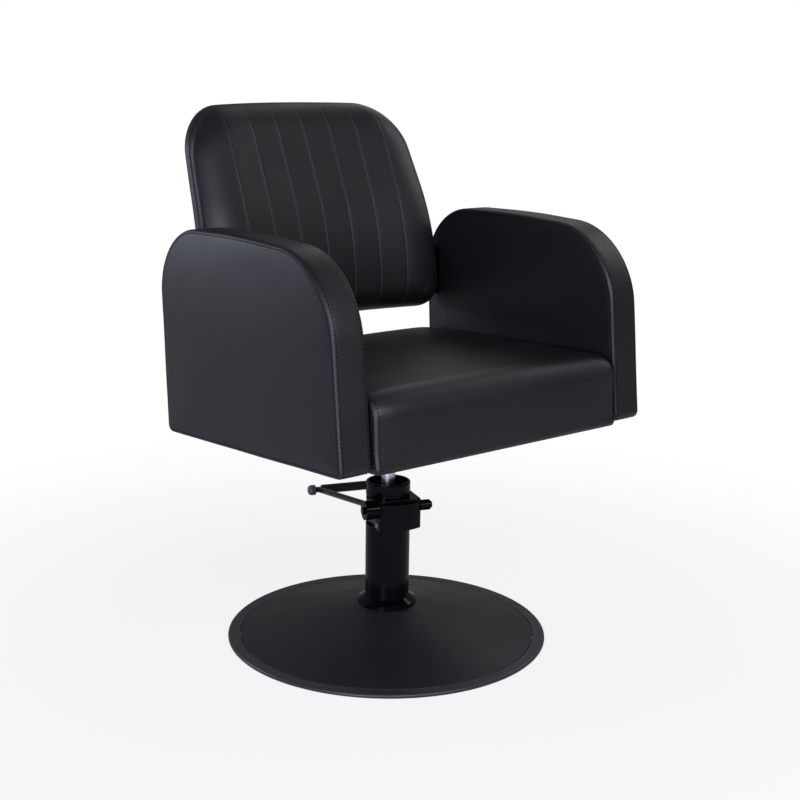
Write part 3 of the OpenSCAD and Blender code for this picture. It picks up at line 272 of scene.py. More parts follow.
# %% Coated steel
def coated_steel(name, tone, rough, grit, depth, level):
    material, tree, place = new_material(name)
    peel = add_node(tree, "ShaderNodeTexNoise", {"Vector": place, "Scale": 1 / (grit * MM), "Detail": 2.0})
    dust = add_node(tree, "ShaderNodeTexNoise", {"Vector": place, "Scale": 14.0, "Detail": 4.0})
    wear = add_node(tree, "ShaderNodeMapRange", {
        "Value": dust.outputs[0], "From Min": 0.35, "From Max": 0.7, "To Min": rough, "To Max": rough * 1.25})
    relief = add_node(tree, "ShaderNodeBump", {
        "Height": peel.outputs[0], "Strength": 0.5, "Distance": depth * MM})
    coat = add_node(tree, "ShaderNodeBsdfPrincipled", {
        "Base Color": colour(tone), "Roughness": wear.outputs["Result"], "IOR": 1.5,
        "Specular IOR Level": level, "Normal": relief.outputs[0]})
    add_node(tree, "ShaderNodeOutputMaterial", {"Surface": coat.outputs[0]})
    return material


gloss_enamel = coated_steel("gloss_black_stove_enamel", "#060608", 0.1, 3.0, 0.01, 0.12)
cover_coat = coated_steel("satin_black_powder_coat", "#17171a", 0.42, 0.9, 0.04, 0.45)
trim_coat = coated_steel("smooth_black_powder_coat", "#26272b", 0.34, 1.2, 0.02, 0.55)

# %% [markdown]
# Chrome, bright steel and zinc are metals, so they are fully metallic and their colour is the
# reflection's. The rod is ground and plated: fine rings run round it, and they spread a reflection
# up and down. Zinc on bolts is duller and a little yellow.

# %% Plated steel
def plated_steel(name, tone, rough, ring):
    material, tree, place = new_material(name)
    stretch = add_node(tree, "ShaderNodeMapping", {"Vector": place, "Scale": (1, 1, ring)})
    lines = add_node(tree, "ShaderNodeTexNoise", {"Vector": stretch.outputs[0], "Scale": 60.0, "Detail": 3.0})
    shade = add_node(tree, "ShaderNodeMapRange", {
        "Value": lines.outputs[0], "To Min": rough * 0.8, "To Max": rough * 1.4})
    relief = add_node(tree, "ShaderNodeBump", {
        "Height": lines.outputs[0], "Strength": 0.15, "Distance": 0.00005})
    metal = add_node(tree, "ShaderNodeBsdfPrincipled", {
        "Base Color": colour(tone), "Metallic": 1.0, "Roughness": shade.outputs["Result"],
        "Normal": relief.outputs[0]})
    add_node(tree, "ShaderNodeOutputMaterial", {"Surface": metal.outputs[0]})
    return material


chrome = plated_steel("ground_chrome_plate", "#dfe1e6", 0.28, 30.0)
bright_steel = plated_steel("ground_steel", "#a9abb0", 0.25, 20.0)
zinc = plated_steel("zinc_plated_steel", "#a5a49c", 0.4, 1.0)

# %% [markdown]
# Moulded rubber and the hard plastic of the pedal's knobs are plain plastics with a fine eroded
# grain, which comes from the mould.

# %% Rubber and plastic
def moulded(name, tone, rough, grain):
    material, tree, place = new_material(name)
    erosion = add_node(tree, "ShaderNodeTexNoise", {
        "Vector": place, "Scale": 1 / (grain * MM), "Detail": 3.0})
    blotch = add_node(tree, "ShaderNodeTexNoise", {"Vector": place, "Scale": 25.0})
    shade = add_node(tree, "ShaderNodeMapRange", {
        "Value": blotch.outputs[0], "To Min": rough - 0.06, "To Max": rough + 0.06})
    relief = add_node(tree, "ShaderNodeBump", {
        "Height": erosion.outputs[0], "Strength": 0.3, "Distance": 0.0001})
    body = add_node(tree, "ShaderNodeBsdfPrincipled", {
        "Base Color": colour(tone), "Roughness": shade.outputs["Result"], "IOR": 1.5,
        "Normal": relief.outputs[0]})
    add_node(tree, "ShaderNodeOutputMaterial", {"Surface": body.outputs[0]})
    return material


rubber = moulded("moulded_black_rubber", "#1d1d1f", 0.55, 0.8)
knob_plastic = moulded("grey_abs_plastic", "#4c4d51", 0.35, 0.6)

# %% [markdown]
# Inside the covers are wooden rails and plywood boards. Wood grain is noise stretched along the
# board, with growth lines about 4 mm apart. Under the seat is a black spun-bonded cloth, pressed
# with a grid of small dots.

# %% Wood and under-cloth
plywood, tree, place = new_material("birch_plywood")
along = add_node(tree, "ShaderNodeMapping", {"Vector": place, "Scale": (1, 12, 1)})
rings = add_node(tree, "ShaderNodeTexNoise", {
    "Vector": along.outputs[0], "Scale": 20.0, "Detail": 6.0, "Distortion": 0.6})
grain = add_node(tree, "ShaderNodeMix", {
    "Factor": rings.outputs[0], 6: colour("#d9b988"), 7: colour("#a97c47")}, data_type="RGBA")
pores = add_node(tree, "ShaderNodeBump", {"Height": rings.outputs[0], "Strength": 0.3, "Distance": 0.0003})
board = add_node(tree, "ShaderNodeBsdfPrincipled", {
    "Base Color": grain.outputs[2], "Roughness": 0.7, "Normal": pores.outputs[0]})
add_node(tree, "ShaderNodeOutputMaterial", {"Surface": board.outputs[0]})

under_cloth, tree, place = new_material("spun_bonded_black_cloth")
dots = add_node(tree, "ShaderNodeTexVoronoi", {"Vector": place, "Scale": 400.0, "Randomness": 0.2})
press = add_node(tree, "ShaderNodeBump", {
    "Height": dots.outputs["Distance"], "Strength": 0.5, "Distance": 0.0004})
cloth = add_node(tree, "ShaderNodeBsdfPrincipled", {
    "Base Color": colour("#141415"), "Roughness": 0.9, "Normal": press.outputs[0]})
add_node(tree, "ShaderNodeOutputMaterial", {"Surface": cloth.outputs[0]})

# %% [markdown]
# CAD parts whose shape is already right only need a finish: their material slots are filled.

# %% Finish the CAD parts that stay
KEPT = [
    (zinc, ["base_plate", "foot_bolts", "bracket_bolts", "arm_bolts", "back_bolts"]),
    (bright_steel, ["pressure_cylinder", "plunger_spring", "plunger", "piston"]),
    (rubber, ["grip_ring", "piston_seal", "wiper_ring"]),
    (plywood, ["seat_frame", "seat_board", "right_arm_core", "left_arm_core", "back_board"]),
    (under_cloth, ["dust_cover"]),
    (gloss_enamel, ["back_spacers"]),
]
for material, nodes in KEPT:
    for name in nodes:
        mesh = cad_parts[name].data
        mesh.materials.clear()
        mesh.materials.append(material)
    print(material.name, "on", ", ".join(nodes))

# %% [markdown]
# ## Turned parts
# Column, cap, collar, cover and trim are round, so each is a profile spun about the column's axis.
# The profile's corners are bevelled after the spin: a real edge is never sharp, and its small
# radius is what catches the light. Weighted normals keep the flat faces flat beside the bevels.

# %% Finishing a mesh into a piece
def piece(name, bm, material, body, nodes=(), sharp=35):
    mesh = bpy.data.meshes.new(name)
    bm.to_mesh(mesh)
    bm.free()
    mesh.materials.append(material)
    mesh.shade_smooth()
    mesh.set_sharp_from_angle(angle=radians(sharp))
    made = bpy.data.objects.new(name, mesh)
    bpy.context.collection.objects.link(made)
    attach(made, body)
    if nodes:
        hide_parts(*nodes)
    return made


def round_edges(bm, width, angle=30, segments=3):
    edges = [e for e in bm.edges if len(e.link_faces) == 2 and e.calc_face_angle() > radians(angle)]
    bmesh.ops.bevel(bm, geom=edges, offset=width * MM, offset_type="OFFSET", segments=segments, profile=0.5,
                    affect="EDGES", clamp_overlap=True, material=-1)


def weigh_normals(made):
    weights = made.modifiers.new("weigh", "WEIGHTED_NORMAL")
    weights.keep_sharp = True
    print(made.name, len(made.data.polygons), "faces")

# %% Spinning a profile
WELD = 0.01 * MM


def turned(name, node, profile, material, edge, steps=128):
    """Spins a closed profile, given as (radius, height), about the column's axis."""
    bm = bmesh.new()
    ring = [bm.verts.new((r * MM, 0, z * MM)) for r, z in profile]
    for a, b in zip(ring, ring[1:] + ring[:1]):
        bm.edges.new((a, b))
    bmesh.ops.spin(bm, geom=bm.verts[:] + bm.edges[:], cent=(0, 0, 0), axis=(0, 0, 1), angle=2 * pi,
                   steps=steps, use_merge=True)
    bmesh.ops.remove_doubles(bm, verts=bm.verts, dist=WELD)
    bmesh.ops.recalc_face_normals(bm, faces=bm.faces)
    round_edges(bm, edge)
    weigh_normals(piece(name, bm, material, "base", [node]))


turned("trim_band", "trim_ring", [(268.3, 0), (287.5, 0), (290, 2.5), (290, 5.5), (287.5, 8), (268.3, 8)],
       trim_coat, edge=1.2, steps=192)
turned("disc_cover", "base_cover", [(267.7, 6), (267.7, 8), (55.5, 61), (40.3, 61), (40.3, 59), (55.5, 59),
                                    (259.7, 6)], cover_coat, edge=0.6, steps=192)
turned("neck_collar", "foot_collar", [(40.3, 61), (53.5, 61), (53.5, 68), (40.6, 76), (40.3, 76)],
       gloss_enamel, edge=0.6)
turned("pump_tube", "column_tube", [(0, 6), (75, 6), (75, 14), (40, 14), (40, 213), (37, 213), (37, 14),
                                    (0, 14)], gloss_enamel, edge=0.5)
turned("pump_cap", "top_cap", [(12.55, 267), (40, 267), (40, 273), (38.5, 273), (38.5, 274.5), (40, 274.5),
                               (40, 290.5), (38.5, 292), (35.5, 292), (35.5, 280), (17.5, 280), (17.5, 276),
                               (12.55, 276)], gloss_enamel, edge=0.4)

# %% [markdown]
# ## Cast and bent metal
# The pump head, axle, pedal and bracket have their final shape in the CAD model, only with sharp
# edges. A copy of each CAD mesh is welded, its flat triangles are joined, and its edges rounded.

# %% Copies with rounded edges
def softened(name, node, material, body, edge):
    bm = bmesh.new()
    bm.from_mesh(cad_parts[node].data)
    bmesh.ops.remove_doubles(bm, verts=bm.verts, dist=WELD)
    bmesh.ops.dissolve_limit(bm, angle_limit=radians(1), verts=bm.verts, edges=bm.edges)
    round_edges(bm, edge, 32, 2)
    weigh_normals(piece(name, bm, material, body, [node]))


softened("cast_head", "pump_head", gloss_enamel, "base", 0.8)
softened("release_valve", "valve_screw", zinc, "base", 0.3)
softened("cross_shaft", "pump_axle", gloss_enamel, "pedal", 0.3)
softened("bent_pedal", "pedal_frame", gloss_enamel, "pedal", 0.5)
softened("ribbed_grip", "pedal_sleeve", rubber, "pedal", 0.2)
softened("grip_knobs", "pedal_knobs", knob_plastic, "pedal", 0.3)
softened("shaft_screws", "hub_screws", gloss_enamel, "pedal", 0.5)
softened("lift_rod", "piston_rod", chrome, "seat", 0.4)
softened("seat_socket", "seat_bracket", gloss_enamel, "seat", 0.5)
softened("right_back_plate", "right_back_bracket", gloss_enamel, "seat", 0.5)
softened("left_back_plate", "left_back_bracket", gloss_enamel, "seat", 0.5)

# %% [markdown]
# ## Seams and stitches
# A seam here is two panels sewn edge to edge and turned, with a row of top stitches on each side
# that holds the turned edges flat. Each stitch is a small capsule of thread that sinks into the
# cover at both ends. The rows follow the panels' own edge loops, and every stitch is set on the
# finished surface, because the padding moves that surface after the loops were made. The capsules
# of a whole row come from one sphere that is doubled again and again, which is quick.

# %% Sewing rows of stitches
STITCH, PITCH = 4.2, 6.5
THREAD_RISE, THREAD_LIFT = 0.55, 0.2
BLANK_STEP = 4


def spaced(points, closed):
    """Points at an even pitch along a line, each with its direction."""
    line = [Vector(p) for p in points] + ([Vector(points[0])] if closed else [])
    lengths = [(b - a).length for a, b in zip(line, line[1:])]
    count = int(sum(lengths) / (PITCH * MM))
    step = sum(lengths) / count
    at, done = 0, 0.0
    marks = []
    for i in range(count):
        want = (i + 0.5) * step
        while done + lengths[at] < want:
            done += lengths[at]
            at += 1
        way = (line[at + 1] - line[at]).normalized()
        marks.append((line[at] + way * (want - done), way))
    return marks


print("stitches:", STITCH, "mm long,", PITCH, "mm apart")

# %% Sewing on a surface
def made_parts(made, kind):
    """The corners or faces that an operator has made."""
    return [part for part in made["geom"] if isinstance(part, kind)]


def stitch_blanks(count):
    """A line of unit spheres, BLANK_STEP apart along X."""
    bm = bmesh.new()
    bmesh.ops.create_uvsphere(bm, u_segments=6, v_segments=6, radius=1)
    made = 1
    while made < count:
        copies = bmesh.ops.duplicate(bm, geom=bm.verts[:] + bm.edges[:] + bm.faces[:])
        bmesh.ops.translate(bm, vec=(BLANK_STEP * made, 0, 0), verts=made_parts(copies, bmesh.types.BMVert))
        made *= 2
    end = BLANK_STEP * (count - 0.5)
    bmesh.ops.delete(bm, geom=[v for v in bm.verts if v.co.x > end], context="VERTS")
    return bm


def sew(name, surface, rows, thread, width):
    solid = BVHTree.FromObject(surface, bpy.context.evaluated_depsgraph_get())
    size = Matrix.Diagonal((width / 2 * MM, STITCH / 2 * MM, THREAD_RISE * MM, 1))
    places = []
    for points, closed in rows:
        for mark, way in spaced(points, closed):
            spot, normal, _, _ = solid.find_nearest(mark)
            side = normal.cross(way).normalized()
            lay = Matrix((side, way, side.cross(way))).transposed().to_4x4()
            places.append(Matrix.Translation(spot + normal * THREAD_LIFT * MM) @ lay @ size)
    bm = stitch_blanks(len(places))
    for v in bm.verts:
        i = round(v.co.x / BLANK_STEP)
        v.co = places[i] @ (v.co - Vector((BLANK_STEP * i, 0, 0)))
    bmesh.ops.recalc_face_normals(bm, faces=bm.faces)
    piece(name, bm, thread, "seat", sharp=80)
    print(name, len(places), "stitches")

# %% [markdown]
# ## The arms
# An arm is a board with foam on both faces. A long band of leatherette wraps its edge, and a padded
# panel closes each face. It could be a box with a bevel, but then its seams would have no depth. So
# the side outline is drawn once and its corners are rounded. From the middle of the band, a cap face
# grows outwards on each side in small insets. Each step spreads or draws in a little, which makes
# the groove of each row of stitches and the rounded ridge between them.

# %% The tilt of the seat, and outlines that grow
SEAT_BOTTOM = 399
pivot = Vector((0, 0, SEAT_BOTTOM * MM))
tilt = Matrix.Translation(pivot) @ Matrix.Rotation(radians(-3), 4, "X") @ Matrix.Translation(-pivot)


def outline(bm, corners, segments, pitch=14):
    """Two back-to-back caps at X = 0 with rounded corners, from corners given as (y, z, radius)."""
    verts = [bm.verts.new((0, y * MM, z * MM)) for y, z, _ in corners]
    bm.faces.new(verts)
    spots = [v.co.copy() for v in verts]
    for i, (vert, (_, _, radius)) in enumerate(zip(verts, corners)):
        opening = (spots[i - 1] - spots[i]).angle(spots[(i + 1) % len(spots)] - spots[i])
        bmesh.ops.bevel(bm, geom=[vert], offset=radius * MM / tan(opening / 2), offset_type="OFFSET",
                        segments=segments, profile=0.5, affect="VERTICES", clamp_overlap=False, material=-1)
    for edge in [e for e in bm.edges if e.calc_length() > 2 * pitch * MM]:
        bmesh.ops.subdivide_edges(bm, edges=[edge], cuts=int(edge.calc_length() / (pitch * MM)))
    made = bmesh.ops.extrude_face_region(bm, geom=bm.faces[:])
    caps = made_parts(made, bmesh.types.BMFace)
    bmesh.ops.translate(bm, vec=(1 * MM, 0, 0), verts=caps[0].verts)
    bmesh.ops.translate(bm, vec=(-0.5 * MM, 0, 0), verts=bm.verts)
    bmesh.ops.recalc_face_normals(bm, faces=bm.faces)
    ends = sorted((f for f in bm.faces if abs(f.normal.x) > 0.9), key=lambda f: f.calc_center_median().x)
    return ends[-1], ends[0]


def grow(bm, cap, out, along):
    """Adds a ring round a cap: out is how far it spreads, along how far it advances. Gives the ring."""
    bmesh.ops.inset_region(bm, faces=[cap], thickness=-out * MM, depth=along * MM, use_even_offset=True)
    return [v.co.copy() for v in cap.verts]


def cap_middle(cap):
    return sum((v.co for v in cap.verts), Vector()) / len(cap.verts)


def shrink(bm, cap, share, along, middle):
    """Adds a ring that is a share of the cap's size and advances along its normal."""
    bmesh.ops.inset_region(bm, faces=[cap], thickness=0, depth=0)
    bmesh.ops.scale(bm, vec=(1, share, share), space=Matrix.Translation(-middle), verts=cap.verts)
    bmesh.ops.translate(bm, vec=cap.normal * along * MM, verts=cap.verts)

# %% [markdown]
# The padding is never perfectly even. A slow noise moves every point of a cover by up to half a
# millimetre along its normal, which makes the sheen wander a little. One level of subdivision
# rounds the rings into a smooth skin.

# %% Finishing a cover
def held(value):
    return max(0.0, min(1.0, value))


def uneven(bm, amount, wave, seed):
    bm.normal_update()
    shift = Vector((seed, 0, 0))
    moves = [(v, v.normal * noise.noise(v.co / (wave * MM) + shift) * amount * MM) for v in bm.verts]
    for v, move in moves:
        v.co += move


def subdivided(made):
    smooth = made.modifiers.new("smooth", "SUBSURF")
    smooth.levels = smooth.render_levels = 1

# %% [markdown]
# The band is 58 mm wide. Each step below is (spread, advance). The first list is half the band, from
# its middle to just past the groove of its row of stitches. The second turns round the corner as a
# ridge, falls into the groove of the panel's row and comes back up. The third swells the panel
# towards its middle, as (share of its size, share of its rise). The outer panel is thickly padded;
# the inner one is nearly flat. The last step's cap is cut into triangles, because subdividing one
# face with hundreds of corners is slow.

# %% Building an arm
ARM_CORNERS = [(-295, 402, 14), (205, 402, 14), (205, 762, 115), (-30, 756, 1700), (-278, 734, 147)]
BAND_STEPS = [(0, 9.2), (-0.1, 8.2), (-0.2, 5.8), (-0.5, 0.8), (0.4, 0.8)]
RIDGE_STEPS = [(-0.2, 1.2), (-0.8, 1.5), (-1.3, 1.3), (-1.5, 0.8), (-1.4, 0.25), (-0.8, -0.5), (-0.8, 0.5),
               (-3.6, 0.7)]
BAND_ROW, PANEL_ROW = 3, 10
CROWN = [(0.95, 0.22), (0.86, 0.46), (0.72, 0.7), (0.54, 0.87), (0.32, 0.97), (0.16, 1.0), (0.07, 1.0)]
OUTER_RISE, INNER_RISE, ARM_X = 5.6, 0.3, 301
ROW_WIDTH = 1.8


def padded_arm(name, side, seed):
    bm = bmesh.new()
    outer, inner = outline(bm, ARM_CORNERS, 20)
    rows = []
    for cap, rise in ((outer, OUTER_RISE), (inner, INNER_RISE)):
        rings = [grow(bm, cap, out, along) for out, along in BAND_STEPS + RIDGE_STEPS]
        rows += [rings[BAND_ROW], rings[PANEL_ROW]]
        middle = cap_middle(cap)
        size, level = 1.0, 0.0
        for share, height in CROWN:
            shrink(bm, cap, share / size, rise * (height - level), middle)
            size, level = share, height
        bmesh.ops.triangulate(bm, faces=[cap])
    uneven(bm, amount=0.5, wave=90, seed=seed)
    place = Matrix.Translation((ARM_X * MM, 0, 0))
    if side == "left":
        place = Matrix.Scale(-1, 4, (1, 0, 0)) @ place
    bmesh.ops.transform(bm, matrix=tilt @ place, verts=bm.verts)
    bmesh.ops.recalc_face_normals(bm, faces=bm.faces)
    made = piece(name, bm, leatherette, "seat",
                 [f"{side}_arm_band", f"{side}_arm_outer_pad", f"{side}_arm_inner_pad"], sharp=180)
    subdivided(made)
    rows = [([tilt @ place @ p for p in ring], True) for ring in rows]
    sew(name + "_stitches", made, rows, thread_painted_dark, ROW_WIDTH)


padded_arm("right_arm", "right", 0.0)
padded_arm("left_arm", "left", 7.0)

# %% [markdown]
# ## The seat
# The seat is a box cushion: one wide wrap runs up the front, over a thick roll and back across the
# top, and a panel closes each side. It is drawn like the arms, from its side outline, and grows
# sideways to the seams. Then the top rises to a crown and the front swells, and towards the sides
# the wrap falls away into its seams.

# %% Building the seat
SEAT_CORNERS = [(-301, SEAT_BOTTOM, 10), (200, SEAT_BOTTOM, 10), (202, 529, 28), (-303, 525, 40)]
SIDE_STEPS = [(0, 33)] * 6 + [(0, 16), (0, 14), (0, 12), (0, 10), (0, 6.5), (-0.6, 1.1), (0.4, 1.1),
                              (-0.2, 1.5), (-0.9, 1.8), (-1.5, 1.6), (-1.7, 1.0), (-1.6, 0.3), (-0.8, -0.4),
                              (-0.8, 0.5), (-1.0, 0.8)]
WRAP_ROW, SIDE_ROW = 11, 18
HALF_W, HALF_D, MIDDLE_Y, SEAT_H = 270, 252.5, -50.5, 130
CROWN_RISE, FRONT_SWELL = 9, 3
FALL, FALL_START, FALL_WIDTH = 12, 212, 59
FRONT_ROLL_Y, TOP_ROLL_Z, FRONT_Y = -247, 469, -250


def seat_shape(co):
    """Where a point of the plain block goes."""
    x, y, z = co / MM
    across = 1 - min(1, abs(x) / HALF_W) ** 2
    along = 1 - min(1, abs(y - MIDDLE_Y) / HALF_D) ** 2
    height = held((z - SEAT_BOTTOM) / SEAT_H)
    rise = Vector((0, 0, CROWN_RISE * across * along * held(height * 2 - 0.6)))
    outward = Vector((0, min(0, y - FRONT_ROLL_Y), max(0, z - TOP_ROLL_Z)))
    if outward.length > 0:
        beside = held((abs(x) - FALL_START) / FALL_WIDTH)
        rise -= outward.normalized() * FALL * (1 - sqrt(1 - beside ** 2)) * held(height * 4)
    if y < FRONT_Y:
        rise.y -= FRONT_SWELL * across * sin(pi * height)
    return co + rise * MM


bm = bmesh.new()
ends = outline(bm, SEAT_CORNERS, 10, 12)
rows = []
for cap in ends:
    rings = [grow(bm, cap, out, along) for out, along in SIDE_STEPS]
    rows += [rings[WRAP_ROW], rings[SIDE_ROW]]
    middle = cap_middle(cap)
    shrink(bm, cap, 0.9, 0, middle)
    shrink(bm, cap, 0.6, 0, middle)
    bmesh.ops.triangulate(bm, faces=[cap])
for v in bm.verts:
    v.co = seat_shape(v.co)
uneven(bm, amount=0.6, wave=110, seed=3.0)
print("seat:", len(bm.verts), "points")

# %% [markdown]
# Below, the seat is open: the covers turn under the wooden frame. So the underside is made flat, cut
# along the hollow's four edges, and the part between them is pushed up to make room for the frame
# and the board. Creases keep the hollow's edges sharp under the subdivision.

# %% The hollow under the seat
HOLLOW_FRONT, HOLLOW_REAR, HOLLOW_SIDE, HOLLOW_DEPTH = -294.2, 194.0, 260.9, 71.9
NEAR_BOTTOM, BELOW_ROOF, BESIDE_HOLLOW, CUT_SLACK = 402, 475, 261, 0.2
SHARP_TURN = 1.2


def underside():
    return [f for f in bm.faces if f.normal.z < -0.9 and f.calc_center_median().z < NEAR_BOTTOM * MM]


def in_hollow(face):
    spot = face.calc_center_median() / MM
    return abs(spot.x) < HOLLOW_SIDE and HOLLOW_FRONT - CUT_SLACK < spot.y < HOLLOW_REAR + CUT_SLACK


bm.normal_update()
for v in {v for f in underside() for v in f.verts}:
    v.co.z = SEAT_BOTTOM * MM
for x, y in [(0, HOLLOW_FRONT), (0, HOLLOW_REAR), (HOLLOW_SIDE, 0), (-HOLLOW_SIDE, 0)]:
    flat = underside()
    near = flat + list({e for f in flat for e in f.edges}) + list({v for f in flat for v in f.verts})
    bmesh.ops.bisect_plane(bm, geom=near, dist=0.001 * MM, plane_co=(x * MM, y * MM, 0),
                           plane_no=Vector((x, y, 0)).normalized())
under = [f for f in underside() if in_hollow(f)]
made = bmesh.ops.extrude_face_region(bm, geom=under)
roof = made_parts(made, bmesh.types.BMVert)
bmesh.ops.delete(bm, geom=under, context="FACES")
bmesh.ops.translate(bm, vec=(0, 0, HOLLOW_DEPTH * MM), verts=roof)
crease = bm.edges.layers.float.new("crease_edge")
bm.normal_update()
for edge in bm.edges:
    low_edge = max(v.co.z for v in edge.verts) < BELOW_ROOF * MM
    inner_edge = max(abs(v.co.x) for v in edge.verts) < BESIDE_HOLLOW * MM
    if low_edge and inner_edge and len(edge.link_faces) == 2 and edge.calc_face_angle() > SHARP_TURN:
        edge[crease] = 1.0
print("hollow's roof at", round(max(v.co.z for v in roof) / MM, 1),
      "open edges:", len([e for e in bm.edges if len(e.link_faces) != 2]))

# %% [markdown]
# The seat's rows of stitches follow the two grooves of each side. They stop at the underside, so
# each ring is opened at its lowest part.

# %% The seat's cover and its stitches
shown_rows = []
for ring in rows:
    ring = [seat_shape(p) for p in ring]
    low = min(p.z for p in ring) + 3 * MM
    start = next(i for i in range(len(ring)) if ring[i - 1].z < low <= ring[i].z)
    shown_rows.append(([tilt @ p for p in ring[start:] + ring[:start] if p.z > low], False))
bmesh.ops.transform(bm, matrix=tilt, verts=bm.verts)
bmesh.ops.recalc_face_normals(bm, faces=bm.faces)
seat = piece("seat_pad", bm, leatherette, "seat", ["seat_cushion"], sharp=60)
subdivided(seat)
sew("seat_stitches", seat, shown_rows, thread_painted_dark, ROW_WIDTH)

# %% [markdown]
# ## The back
# The back is bent from side to side and leans away above a soft bend. Its front is one panel with
# seven seams sewn down it, which rolls round to a seam on the side, where a narrow boxing strip
# begins. Such a sheet is easiest as a flat grid: the grid is extruded to a slab, and each point is
# then moved to its place by a function of its column, row and depth.

# %% The form of the back
BACK_Z, BACK_H, BACK_W, BACK_TOP_W = 560.2, 387, 526, 464
FRONT_FACE_Y, HUG_RADIUS, SIDE_SWELL, TOP_SAG = 176, 1000, 8, 6
BEND_START, BEND_RADIUS, LEAN = 30, 560, radians(21.5)
UPPER_CORNER, LOWER_CORNER = 80, 46
SEAM_PITCH = 57.8
SEAMS = [(i - 3) * SEAM_PITCH for i in range(7)]
FACE_ROLL, HIGH_ROLL, SIDE_SEAM, CUSHION_T = 80, 50, 43, 46


def profile_back(h):
    """How far the face leans back at height h."""
    bend = BEND_RADIUS * sin(LEAN)
    over = h - BEND_START
    if over <= 0:
        return 0
    if over < bend:
        return BEND_RADIUS - sqrt(BEND_RADIUS ** 2 - over ** 2)
    return BEND_RADIUS * (1 - cos(LEAN)) + (over - bend) * tan(LEAN)


def half_width(h):
    return (BACK_W + (BACK_TOP_W - BACK_W) * h / BACK_H) / 2 + SIDE_SWELL * (1 - (2 * h / BACK_H - 1) ** 2)


def corner_radius(h):
    return UPPER_CORNER if h > BACK_H / 2 else LOWER_CORNER


def sag(x, h):
    """How much lower the top's ends are than its middle."""
    return TOP_SAG * (2 * x / BACK_TOP_W) ** 2 * h / BACK_H


def back_point(x, h, drawn, set_back):
    """A point at column x and height h: drawn in from the rounded outline, set back behind the face."""
    half = half_width(h) - drawn
    r = max(corner_radius(h) - drawn, 0.3)
    edge, way = (BACK_H - drawn, 1) if h > BACK_H / 2 else (drawn, -1)
    a = held((abs(x) - half + r) / r)
    b = held(way * (h - edge) / r + 1)
    side = 1 if x > 0 else -1
    px = side * (half - r + r * a * sqrt(1 - b * b / 2)) if a > 0 else x
    ph = edge - way * r + way * r * b * sqrt(1 - a * a / 2) if b > 0 else h
    y = FRONT_FACE_Y + profile_back(ph) - px ** 2 / (2 * HUG_RADIUS) + set_back
    return Vector((px, y, BACK_Z + ph - sag(px, ph))) * MM


print("the back's top leans back", round(profile_back(BACK_H), 1), "mm")

# %% [markdown]
# The face and the rear panel both roll over near the outline, so a point has to know how far into
# the roll it lies: 0 on the open face and 1 at the outline. Round a corner, the roll's width turns
# smoothly from the side's to that of the top or bottom.

# %% Rolled edges and a crown
def edge_share(x, h, side_roll, end_roll):
    """0 inside the face, rising to 1 at the rounded outline."""
    spot = back_point(x, h, 0, 0) / MM
    px, ph = abs(spot.x), spot.z - BACK_Z + sag(spot.x, h)
    in_side, in_end = half_width(ph) - px, min(ph, BACK_H - ph)
    r = corner_radius(h)
    if in_side < r and in_end < r:
        turn = atan2(r - in_end, r - in_side)
        roll = side_roll * cos(turn) ** 2 + end_roll * sin(turn) ** 2
        return held(1 - (r - hypot(r - in_side, r - in_end)) / roll)
    return max(held(1 - in_side / side_roll), held(1 - in_end / end_roll))


def drop(share):
    """The fall of a quarter-round roll, from 0 to 1."""
    return 1 - sqrt(max(0.0, 1 - share * share))


def crown_share(x, h):
    return (1 - (x / half_width(h)) ** 2) * (1 - (2 * h / BACK_H - 1) ** 2)

# %% [markdown]
# Across the face, a column of the grid lies exactly on each seam, and twelve columns lie between
# two seams. The columns and rows bunch up near the outline, where the face rolls over.

# %% Columns and rows of the face
PANEL_COLUMNS = [1.2, 2.6, 5, 10, 17, 24.5, 33.3, 40.8, 47.8, 52.8, 55.2, 56.6, SEAM_PITCH]
ROLL_COLUMNS, ROLL_ROWS, FLAT_ROWS = 18, 14, 46


def face_columns(h):
    inner = [0.0] + [k * SEAM_PITCH + x for k in range(3) for x in PANEL_COLUMNS]
    inner += [inner[-1] + x for x in PANEL_COLUMNS[:3]]
    reach = half_width(h) - inner[-1]
    roll = [inner[-1] + reach * sin(radians(90 * i / ROLL_COLUMNS)) for i in range(1, ROLL_COLUMNS + 1)]
    right_side = inner[1:] + roll
    return [-x for x in reversed(right_side)] + [0.0] + right_side


roll_heights = [HIGH_ROLL * (1 - cos(radians(90 * i / ROLL_ROWS))) for i in range(ROLL_ROWS)]
FACE_ROWS = (roll_heights
             + [HIGH_ROLL + (BACK_H - 2 * HIGH_ROLL) * i / FLAT_ROWS for i in range(FLAT_ROWS + 1)]
             + [BACK_H - x for x in reversed(roll_heights)])
print("face grid:", len(face_columns(0)), "columns,", len(FACE_ROWS), "rows")

# %% [markdown]
# Near a seam the cover dips and then falls into the sewn groove, and between seams it swells a
# little. The grooves fade out just before the top and bottom edges, and on the rolls.

# %% The quilted face
GROOVE_DEPTH, GROOVE_REACH = 0.5, 1.3
DIP_DEPTH, DIP_REACH = 0.25, 6
FADE_START, FADE_LENGTH = 3, 8
EDGE_DRAW, CROWN_SWELL = 1.5, 4


def quilt(x):
    """Depth of the sewn groove and of the dip beside it."""
    near = min(abs(x - s) for s in SEAMS)
    return GROOVE_DEPTH * exp(-(near / GROOVE_REACH) ** 2) + DIP_DEPTH * exp(-(near / DIP_REACH) ** 2)


